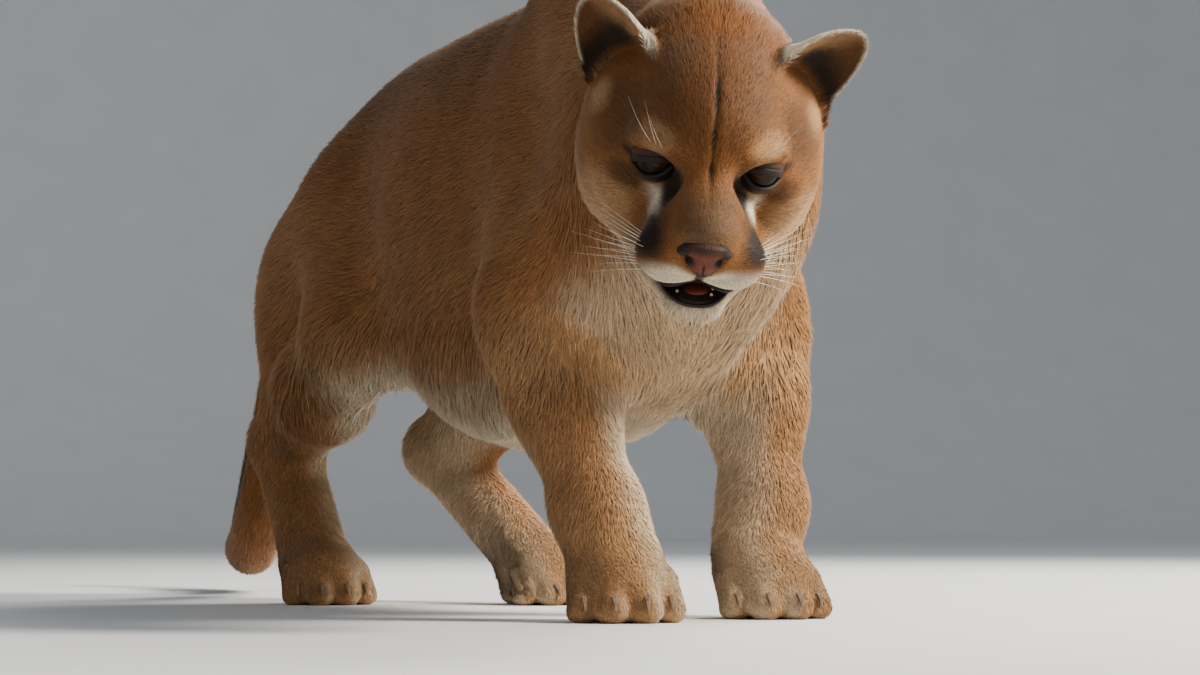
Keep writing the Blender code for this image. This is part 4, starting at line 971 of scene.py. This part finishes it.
def tube(name, routes, radii, sides, flat=1.0):
    """Closed round bars along routes: rings of sides points stand square to each route.

    routes is bars by stations by three, radii is bars by stations, and the first and the last
    radius shrink to a point. flat squashes the ring along the route's own up.
    """
    bars, stations, _ = routes.shape
    along = np.gradient(routes, axis=1)
    along = along / np.linalg.norm(along, axis=2)[..., None]
    up = np.zeros_like(along)
    up[..., 2] = 1.0
    across = np.cross(along, up)
    across = across / np.maximum(np.linalg.norm(across, axis=2), 1e-9)[..., None]
    up = np.cross(across, along)
    angle = np.linspace(0, 2 * np.pi, sides, endpoint=False)
    ring = across[:, :, None] * np.cos(angle)[:, None] + up[:, :, None] * (np.sin(angle) * flat)[:, None]
    body = routes[:, :, None] + ring * radii[..., None, None]
    first = np.repeat(routes[:, :1, None], sides, 2)
    last = np.repeat(routes[:, -1:, None], sides, 2)
    points = np.concatenate([first, body, last], 1)
    faces = grid_faces(stations + 2, sides, True)
    faces = faces[None] + (np.arange(bars) * (stations + 2) * sides)[:, None, None]
    return closed_piece(name, points.reshape(-1, 3), faces.reshape(-1, 4))


GAZE = (-0.75, -2.2, 0.02)  # the spot that both eyes look at, from between the forepaws


def eyeball(side, name):
    """A sphere with its pole at the pupil: rings at equal angles, and a slight swell over the iris."""
    rings, sides = 48, 64
    angle = np.linspace(0.0, np.pi, rings + 1)
    around = np.linspace(0.0, 2 * np.pi, sides, endpoint=False)
    radius = EYE_RADIUS / MM + 0.55 * np.exp(-((angle / 0.55) ** 4))
    ring = np.sin(angle) * radius
    local = np.stack(
        [
            ring[:, None] * np.cos(around),
            (np.cos(angle) * radius)[:, None] + 0 * around,
            ring[:, None] * np.sin(around),
        ],
        -1,
    )
    middle = np.array([side * EYE_AT[0], EYE_AT[1], EYE_AT[2]]) / MM
    gaze = head_mm(np.array([placed(*GAZE)], np.float32))[0] - middle
    gaze = eye_frame(side) @ (gaze / np.linalg.norm(gaze))
    look = Vector((0, 1, 0)).rotation_difference(Vector(gaze)).to_matrix()
    local = local @ np.array(look).T
    points = in_head(middle + local.reshape(-1, 3) @ eye_frame(side))
    made = closed_piece("eyeball_" + name, points, grid_faces(rings + 1, sides, True))
    centre = in_head(middle[None])[0]
    axis = (in_head((middle + np.array(look)[:, 1] @ eye_frame(side))[None])[0] - centre) / MM
    co, _ = vertex_arrays(made.data)
    way = (co - centre) / np.linalg.norm(co - centre, axis=1)[:, None]
    turn = np.degrees(np.arccos(np.clip(way @ axis, -1, 1)))
    paint(made, iris_colour(turn, way @ np.cross(axis, (0, 0, 1)), way[:, 2]))
    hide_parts("eye_" + name)
    return made


def eyelids():
    """Both lids of both eyes: sheets round the eyeball, from a rounded margin to under the skin.

    Across runs over 78 degrees to each side of the eye's axis. The margins are parabolas in the
    angle up, which meet at the corners, and the opening between them leans by 7 degrees.
    """
    across = np.linspace(-1.3, 1.3, 79)[None, :]
    share = np.linspace(0.0, 1.0, 33)[:, None]
    ball = EYE_RADIUS / MM
    fronts, backs = [], []
    for side in (-1, 1):
        upper = LID_RISE[0] * (1.0 - np.clip(across + 0.1, -1, 1) ** 2) + 7.0 * across
        lower = 7.0 * across - LID_RISE[1] * (1.0 - np.clip(across, -1, 1) ** 2)
        for margin, end in ((upper, 64.0), (lower, -64.0)):
            height = margin + share**1.3 * (end - margin)
            edge = np.clip(share / 0.16, 0.0, 1.0)
            reach = ball + 0.7 + 2.0 * np.sqrt(edge * (2.0 - edge)) - 0.5 * np.exp(-(((share - 0.45) / 0.05) ** 2))
            fronts.append(around_eye(side, 60.0 * across + 0 * share, height, reach + 0 * height))
            backs.append(around_eye(side, 60.0 * across + 0 * share, height, ball + 0.45 + 0 * height))
    made = closed_sheet("eyelids", np.stack(fronts), np.stack(backs))
    co, normals = vertex_arrays(made.data)
    paint(made, mixed(coat_colour(co, normals), SOOT, np.full(len(co), 0.75)))
    return made


def iris_colour(turn, x, z):
    """Pupil, amber iris with fine spokes, a dark ring and a dusky white, by angle from the pupil. The iris and the
    white are kept near black: painted shade under the brow.
    """
    spokes = 0.5 + 0.5 * np.sin(23 * np.arctan2(z, x) + 4 * np.sin(7 * np.arctan2(z, x)))
    # Painted shade: the amber kept near black, as if shaded by the brow
    amber = mixed(np.tile((0.022, 0.010, 0.003), (len(turn), 1)), (0.050, 0.025, 0.007), spokes * 0.5)
    amber = mixed(amber, (0.070, 0.040, 0.011), 0.6 * ease(30, 21, turn))
    colour = mixed(amber, (0.003, 0.002, 0.002), ease(19.5, 17.5, turn))
    colour = mixed(colour, (0.006, 0.004, 0.003), ease(38, 44, turn))
    return mixed(colour, (0.020, 0.011, 0.008), ease(52, 60, turn))


def closed_sheet(name, front, back):
    """Closed solids between pairs of grids, front and back, that share their count and shape."""
    bars, rows, columns = front.shape[:3]
    quads = grid_faces(rows, columns)
    index = np.arange(rows * columns).reshape(rows, columns)
    rim = np.concatenate([index[0, :-1], index[:-1, -1], index[-1, :0:-1], index[:0:-1, 0]])
    nexts = np.roll(rim, -1)
    count = rows * columns
    wall = np.stack([rim, nexts, nexts + count, rim + count], -1)
    faces = np.concatenate([quads, quads[:, ::-1] + count, wall])
    faces = faces[None] + (np.arange(bars) * 2 * count)[:, None, None]
    points = np.concatenate([front.reshape(bars, -1, 3), back.reshape(bars, -1, 3)], 1)
    return closed_piece(name, in_head(points.reshape(-1, 3)), faces.reshape(-1, 4))


def nose_leather():
    """The nose leather over the CAD's: a shield, swollen over each wing, with sunk nostrils."""
    t = np.linspace(0.0, 1.0, 60)[:, None]
    s = np.linspace(-1.0, 1.0, 91)[None, :]
    half = np.interp(t, (0.0, 0.25, 0.5, 0.75, 1.0), (14.5, 19.0, 16.0, 7.0, 2.6))
    half = half + 0 * s
    x = half * s
    z = 7.0 - 25.0 * t - 3.0 * (1.0 - t) * s**2
    y = -120.0 + 3.0 * (1 - 2 * t) ** 2 + 5.5 * s**2 * np.interp(t, (0.0, 0.4, 1.0), (1.0, 1.2, 0.2))
    hole = np.exp(-(((np.abs(x) - 11.5) / 4.1) ** 2) - (((z + 5.8 + 0.2 * (np.abs(x) - 11)) / 3.3) ** 2))
    slit = np.exp(-(((z + 8.0 - 0.1 * np.abs(x)) / 1.5) ** 2)) * ease(11.5, 14, np.abs(x))
    groove = np.exp(-((x / 0.9) ** 2)) * ease(-3, -8, z)
    y = y + 6.5 * hole + 3.0 * slit + 1.0 * groove
    rim = ease(0.86, 1.0, np.maximum(np.abs(s), np.abs(2 * t - 1)))
    y = y + 2.2 * rim**2 - 0.5
    front = np.stack([x, y, z], -1)
    back = np.stack([x * 0.9, y * 0 - 109.0 + 4 * s**2 + 0 * t, z * 0.94], -1)
    made = closed_sheet("nose_leather", front[None], back[None])
    co, _ = vertex_arrays(made.data)
    q = head_mm(co)
    side = np.abs(q[:, 0])
    tone = np.tile((0.170, 0.058, 0.036), (len(q), 1))
    # Painted shade: the sunk nostrils painted black
    deep = np.exp(-(((side - 11.8) / 4.8) ** 2) - (((q[:, 2] + 6.0) / 4.2) ** 2))
    tone = mixed(tone, SOOT, np.clip(1.5 * deep, 0, 1))
    tone = mixed(tone, (0.050, 0.026, 0.018), 0.9 * ease(-1.0, 4.0, q[:, 2]))
    tone = mixed(tone, SOOT, 0.9 * ease(8.5, 13.0, side))
    tone = mixed(tone, SOOT, 0.9 * ease(-12.0, -15.5, q[:, 2]))
    tone = mixed(tone, SOOT, 0.8 * ease(1.2, 0.5, side) * ease(-3, -8, q[:, 2]))
    paint(made, tone)
    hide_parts("nose")
    return made


def mouth():
    """Lips along the rims of the open mouth, fangs, and a flattened tongue."""
    t = np.linspace(-1.0, 1.0, 61)
    y = -90.0 - 3.75 * (1.0 - np.cos(1.5 * math.pi * t)) + 12.0 * t**10
    upper = np.stack([27.0 * t, y, -37.4 - 4.5 * t**4], -1)
    lower = np.stack([24.5 * t, -101.4 + 20.5 * np.abs(t) ** 3.0, -50.3 + 5.4 * t**2], -1)
    size = np.sqrt(np.clip(1.0 - (t * 0.985) ** 8, 0.02, 1.0)) * MM
    lips = tube("lips", in_head(np.stack([upper, lower])), np.stack([size * 1.9, size * 1.7]), 16, 0.85)
    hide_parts("lip_upper", "lip_lower")
    rise = np.linspace(0.0, 1.0, 16)
    fangs = []
    for side in (-1, 1):
        fangs.append(np.stack([side * (13.0 - rise), -87.0 - rise + 1.5 * rise**2, -33.5 - 12.5 * rise], -1))
        fangs.append(np.stack([side * (12.5 - rise), -89.5 + rise, -56.0 + 9.0 * rise], -1))
    width = np.sqrt(np.clip(1.0 - rise**1.7, 0.004, 1)) * MM
    widths = np.stack([3.0 * width, 2.4 * width, 3.0 * width, 2.4 * width])
    teeth = tube("fangs", in_head(np.stack(fangs)), widths, 12)
    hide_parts("canine_left", "canine_right")
    y = np.linspace(-90.0, -60.0, 40)
    middle = np.stack([0 * y, y, -50.5 + 0.004 * (y + 80) ** 2], -1)
    wide = 11.5 * np.sqrt(np.clip(1.0 - ((y + 75.0) / 15.2) ** 4, 0.02, 1.0)) * MM
    tongue = tube("tongue_soft", in_head(middle[None]), wide[None], 24, 0.36)
    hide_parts("tongue")
    return lips, teeth, tongue


def whiskers(rng):
    """Long tapered hairs from the whisker pads and brows, each bent in one plane."""
    routes, radii = [], []
    for side in (-1, 1):
        for row in range(4):
            for place in range(5):
                root = np.array([side * (27 + 2.4 * place), -104 + 5.4 * place + 1.2 * row, -12 - 4.6 * row])
                way = np.array([side * (0.80 + rng.normal(0, 0.05)), 0.38 + 0.10 * place, 0.10 - 0.12 * row])
                routes.append((root, way, rng.uniform(46, 72) - 5 * place, -0.16 - 0.05 * row))
                radii.append(0.23)
        for number in range(3):
            root = np.array([side * (34 + 4.0 * number), -52 + 2.5 * number, 41 + rng.normal(0, 1)])
            way = np.array([side * 0.45, -0.42, 0.85]) + rng.normal(0, 0.06, 3)
            routes.append((root, way, rng.uniform(26, 40), 0.10))
            radii.append(0.14)
    t = np.linspace(0.0, 1.0, 14)
    lines = []
    for root, way, length, sag in routes:
        way = way / np.linalg.norm(way)
        line = root + way * (t * length)[:, None] - way * 2.0
        line[:, 2] += sag * length * t**2
        line[:, 1] += 0.28 * length * t**2
        lines.append(line)
    taper = (1.0 - 0.86 * t) * MM
    made = tube("whiskers", in_head(np.array(lines)), np.outer(radii, taper), 5)
    return made


def pale_stage():
    """A pale floor that curves up into a wall far behind: flat, a quarter circle, then upright."""
    t = np.linspace(0.0, 1.0, 90)
    bend = np.clip((t - 0.5) / 0.3, 0.0, 1.0) * np.pi / 2
    run = -7.0 + 13.0 * np.clip(t / 0.5, 0, 1) + 2.5 * np.sin(bend)
    rise = 2.5 * (1.0 - np.cos(bend)) + 6.0 * np.clip((t - 0.8) / 0.2, 0, 1)
    x = np.linspace(-12.0, 12.0, 5)
    points = np.stack([x + 0 * run[:, None], run[:, None] + 0 * x, rise[:, None] + 0 * x], -1)
    return piece("floor", points.reshape(-1, 3), grid_faces(90, 5))


def surface_material(name, build):
    """A Principled material whose colour comes from the attribute Tone, finished by build."""
    material = bpy.data.materials.new(name)
    material.use_nodes = True
    nodes, links = material.node_tree.nodes, material.node_tree.links
    shader = nodes["Principled BSDF"]
    tone = nodes.new("ShaderNodeVertexColor")
    tone.layer_name = "Tone"
    where = nodes.new("ShaderNodeTexCoord")
    build(nodes, links, shader, tone, where.outputs["Object"])
    return material


def noise(nodes, links, where, scale, detail=3.0, rough=0.6):
    made = nodes.new("ShaderNodeTexNoise")
    made.inputs["Scale"].default_value = scale
    made.inputs["Detail"].default_value = detail
    made.inputs["Roughness"].default_value = rough
    links.new(where, made.inputs["Vector"])
    return made.outputs["Fac"]


def ranged(nodes, links, value, low, high):
    """value from 0 to 1, drawn out to low at 0.3 and high at 0.7."""
    made = nodes.new("ShaderNodeMapRange")
    made.inputs["From Min"].default_value = 0.3
    made.inputs["From Max"].default_value = 0.7
    made.inputs["To Min"].default_value = low
    made.inputs["To Max"].default_value = high
    links.new(value, made.inputs["Value"])
    return made.outputs["Result"]


def toned(nodes, links, colour, factor):
    """colour times a factor that changes over the surface."""
    made = nodes.new("ShaderNodeVectorMath")
    made.operation = "SCALE"
    links.new(colour, made.inputs[0])
    links.new(factor, made.inputs["Scale"])
    return made.outputs["Vector"]


def bumped(nodes, links, shader, height, distance, strength=1.0):
    made = nodes.new("ShaderNodeBump")
    made.inputs["Distance"].default_value = distance
    made.inputs["Strength"].default_value = strength
    links.new(height, made.inputs["Height"])
    links.new(made.outputs["Normal"], shader.inputs["Normal"])


def fur(nodes, links, shader, tone, where):
    shader.inputs["Roughness"].default_value = 0.62
    shader.inputs["Specular IOR Level"].default_value = 0.28
    shader.inputs["Sheen Weight"].default_value = 0.18
    shader.inputs["Sheen Roughness"].default_value = 0.45
    shader.inputs["Sheen Tint"].default_value = (1.0, 0.86, 0.68, 1.0)
    broad = ranged(nodes, links, noise(nodes, links, where, 26.0, 4.0), 0.86, 1.12)
    fine = ranged(nodes, links, noise(nodes, links, where, 900.0, 2.0), 0.82, 1.16)
    colour = toned(nodes, links, toned(nodes, links, tone.outputs["Color"], broad), fine)
    links.new(colour, shader.inputs["Base Color"])
    bumped(nodes, links, shader, noise(nodes, links, where, 1300.0, 2.0), 0.0004, 0.5)


def bare_skin(nodes, links, shader, tone, where):
    shader.inputs["Roughness"].default_value = 0.75
    shader.inputs["Specular IOR Level"].default_value = 0.2
    shader.inputs["Sheen Weight"].default_value = 0.15
    broad = ranged(nodes, links, noise(nodes, links, where, 26.0, 4.0), 0.86, 1.12)
    fine = ranged(nodes, links, noise(nodes, links, where, 700.0, 3.0), 0.62, 1.12)
    colour = toned(nodes, links, toned(nodes, links, tone.outputs["Color"], broad), fine)
    links.new(colour, shader.inputs["Base Color"])
    bumped(nodes, links, shader, noise(nodes, links, where, 800.0, 3.0), 0.0012, 0.9)


def lid_skin(nodes, links, shader, tone, where):
    shader.inputs["Roughness"].default_value = 0.55
    shader.inputs["Specular IOR Level"].default_value = 0.3
    fine = ranged(nodes, links, noise(nodes, links, where, 900.0, 3.0), 0.75, 1.2)
    links.new(toned(nodes, links, tone.outputs["Color"], fine), shader.inputs["Base Color"])
    bumped(nodes, links, shader, noise(nodes, links, where, 1500.0, 2.0), 0.0003, 0.6)


def wet_eye(nodes, links, shader, tone, where):
    shader.inputs["Roughness"].default_value = 0.5
    shader.inputs["Specular IOR Level"].default_value = 0.1
    shader.inputs["Coat Weight"].default_value = 0.3
    shader.inputs["Coat Roughness"].default_value = 0.03
    veins = ranged(nodes, links, noise(nodes, links, where, 500.0, 4.0), 0.85, 1.1)
    links.new(toned(nodes, links, tone.outputs["Color"], veins), shader.inputs["Base Color"])


def leather(nodes, links, shader, tone, where):
    shader.inputs["Roughness"].default_value = 0.62
    shader.inputs["Specular IOR Level"].default_value = 0.3
    shader.inputs["Coat Weight"].default_value = 0.05
    shader.inputs["Coat Roughness"].default_value = 0.3
    cells = nodes.new("ShaderNodeTexVoronoi")
    cells.inputs["Scale"].default_value = 950.0
    links.new(where, cells.inputs["Vector"])
    patch = ranged(nodes, links, noise(nodes, links, where, 120.0), 0.8, 1.15)
    links.new(toned(nodes, links, tone.outputs["Color"], patch), shader.inputs["Base Color"])
    bumped(nodes, links, shader, cells.outputs["Distance"], 0.0005, 0.8)


def plain_finish(name, colour, spread, rough, coat=0.0, grain=400.0, depth=0.0002):
    """A material of one hue, blotched by noise between two shares of it, with a fine grain."""
    material = bpy.data.materials.new(name)
    material.use_nodes = True
    nodes, links = material.node_tree.nodes, material.node_tree.links
    shader = nodes["Principled BSDF"]
    where = nodes.new("ShaderNodeTexCoord").outputs["Object"]
    hue = nodes.new("ShaderNodeRGB")
    hue.outputs[0].default_value = (*colour, 1.0)
    patch = ranged(nodes, links, noise(nodes, links, where, grain, 4.0), 1 - spread, 1 + spread)
    links.new(toned(nodes, links, hue.outputs[0], patch), shader.inputs["Base Color"])
    shader.inputs["Roughness"].default_value = rough
    shader.inputs["Coat Weight"].default_value = coat
    bumped(nodes, links, shader, noise(nodes, links, where, grain * 2.5), depth, 0.6)
    return material


def dress(thing, material):
    thing.data.materials.clear()
    thing.data.materials.append(material)


def studio():
    """A pale floor and backdrop, three broad soft lights and the camera at the photo's place."""
    floor = pale_stage()
    pale = plain_finish("pale_floor", (0.74, 0.74, 0.73), 0.02, 0.85, 0.0, 6.0, 0.0)
    dress(floor, pale)
    world = bpy.data.worlds.new("studio")
    world.use_nodes = True
    world.node_tree.nodes["Background"].inputs["Color"].default_value = (0.80, 0.85, 0.92, 1.0)
    world.node_tree.nodes["Background"].inputs["Strength"].default_value = 0.36
    bpy.context.scene.world = world
    bpy.context.scene.view_settings.look = "AgX - Medium High Contrast"
    aim = placed(-0.03, -0.06, 0.34)
    lights = (
        ("key", (2.05, -1.45, 2.1), 0.9, 150.0, (1.0, 0.95, 0.87)),
        ("fill", (-2.3, -1.9, 1.1), 1.8, 10.0, (0.90, 0.95, 1.0)),
        ("rim", (1.9, 1.7, 2.1), 1.1, 70.0, (1.0, 0.97, 0.92)),
    )
    for name, at, size, power, colour in lights:
        lamp = bpy.data.lights.new(name, "AREA")
        lamp.size = size
        lamp.energy = power
        lamp.color = colour
        holder = bpy.data.objects.new(name, lamp)
        place = Vector(at) + placed(0, 0, 0)
        holder.location = place
        holder.rotation_euler = (aim - place).to_track_quat("-Z", "Y").to_euler()
        bpy.context.scene.collection.objects.link(holder)
    camera = bpy.data.cameras.new("camera")
    camera.sensor_width = 36.0
    camera.lens = 36.0 * 3510 / 1200
    camera.clip_start = 0.05
    holder = bpy.data.objects.new("camera", camera)
    angle = math.radians(24.0)
    ahead = Vector((math.sin(angle), math.cos(angle), 0.0))
    aside = Vector((math.cos(angle), -math.sin(angle), 0.0))
    holder.location = placed(0, 0, 0.08) - ahead * 2.6 - aside * 0.0696
    tip = math.atan((512 - 337.5) / 3510)
    holder.rotation_euler = (math.pi / 2 + tip, 0.0, -angle)
    bpy.context.scene.collection.objects.link(holder)
    bpy.context.scene.camera = holder


FLESH = ["ear", "foreleg", "forepaw", "head", "hindleg", "hindpaw", "lid", "neck", "tail", "torso"]

rng = np.random.default_rng(7)
studio()
hide_piece = skin()
points, normals = vertex_arrays(hide_piece.data)
under_coat = coat_colour(points, normals)
# Painted shade: the skin darker where the coat over it is deep
under_coat *= 0.88 + 0.12 * ease(0.0025, 0.0008, coat_depth(points))[:, None]
paint(hide_piece, under_coat)
dress(hide_piece, surface_material("skin", bare_skin))
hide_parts(*[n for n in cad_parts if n.startswith(tuple(FLESH))])
fur_material = surface_material("fur", fur)
rooted = spread(hide_piece.data, rng, [count for _, count in COATS])
for (name, _), (roots, out, part) in zip(COATS, rooted):
    coat = tufts(name, rng, roots, out, part)
    dress(coat, fur_material)
eye_material = surface_material("wet_eye", wet_eye)
for side, name in ((-1, "right"), (1, "left")):
    ball = eyeball(side, name)
    dress(ball, eye_material)
lids = eyelids()
dress(lids, surface_material("lid_skin", lid_skin))
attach(lids, "root")
snout = nose_leather()
dress(snout, surface_material("nose_leather", leather))
lips, teeth, tongue = mouth()
dress(lips, plain_finish("dark_lip", (0.016, 0.011, 0.010), 0.3, 0.6, 0.0, 500.0))
dress(teeth, plain_finish("enamel", (0.74, 0.66, 0.48), 0.12, 0.25, 0.4, 300.0, 0.0001))
dress(tongue, plain_finish("tongue", (0.26, 0.060, 0.045), 0.2, 0.35, 0.4, 900.0, 0.0006))
hairs = whiskers(rng)
dress(hairs, plain_finish("whisker", (0.82, 0.78, 0.70), 0.08, 0.35, 0.0, 200.0, 0.0))
horn = plain_finish("horn", (0.23, 0.17, 0.12), 0.3, 0.35, 0.2, 260.0)
for node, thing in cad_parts.items():
    if node.startswith("claw"):
        thing.material_slots[0].material = horn
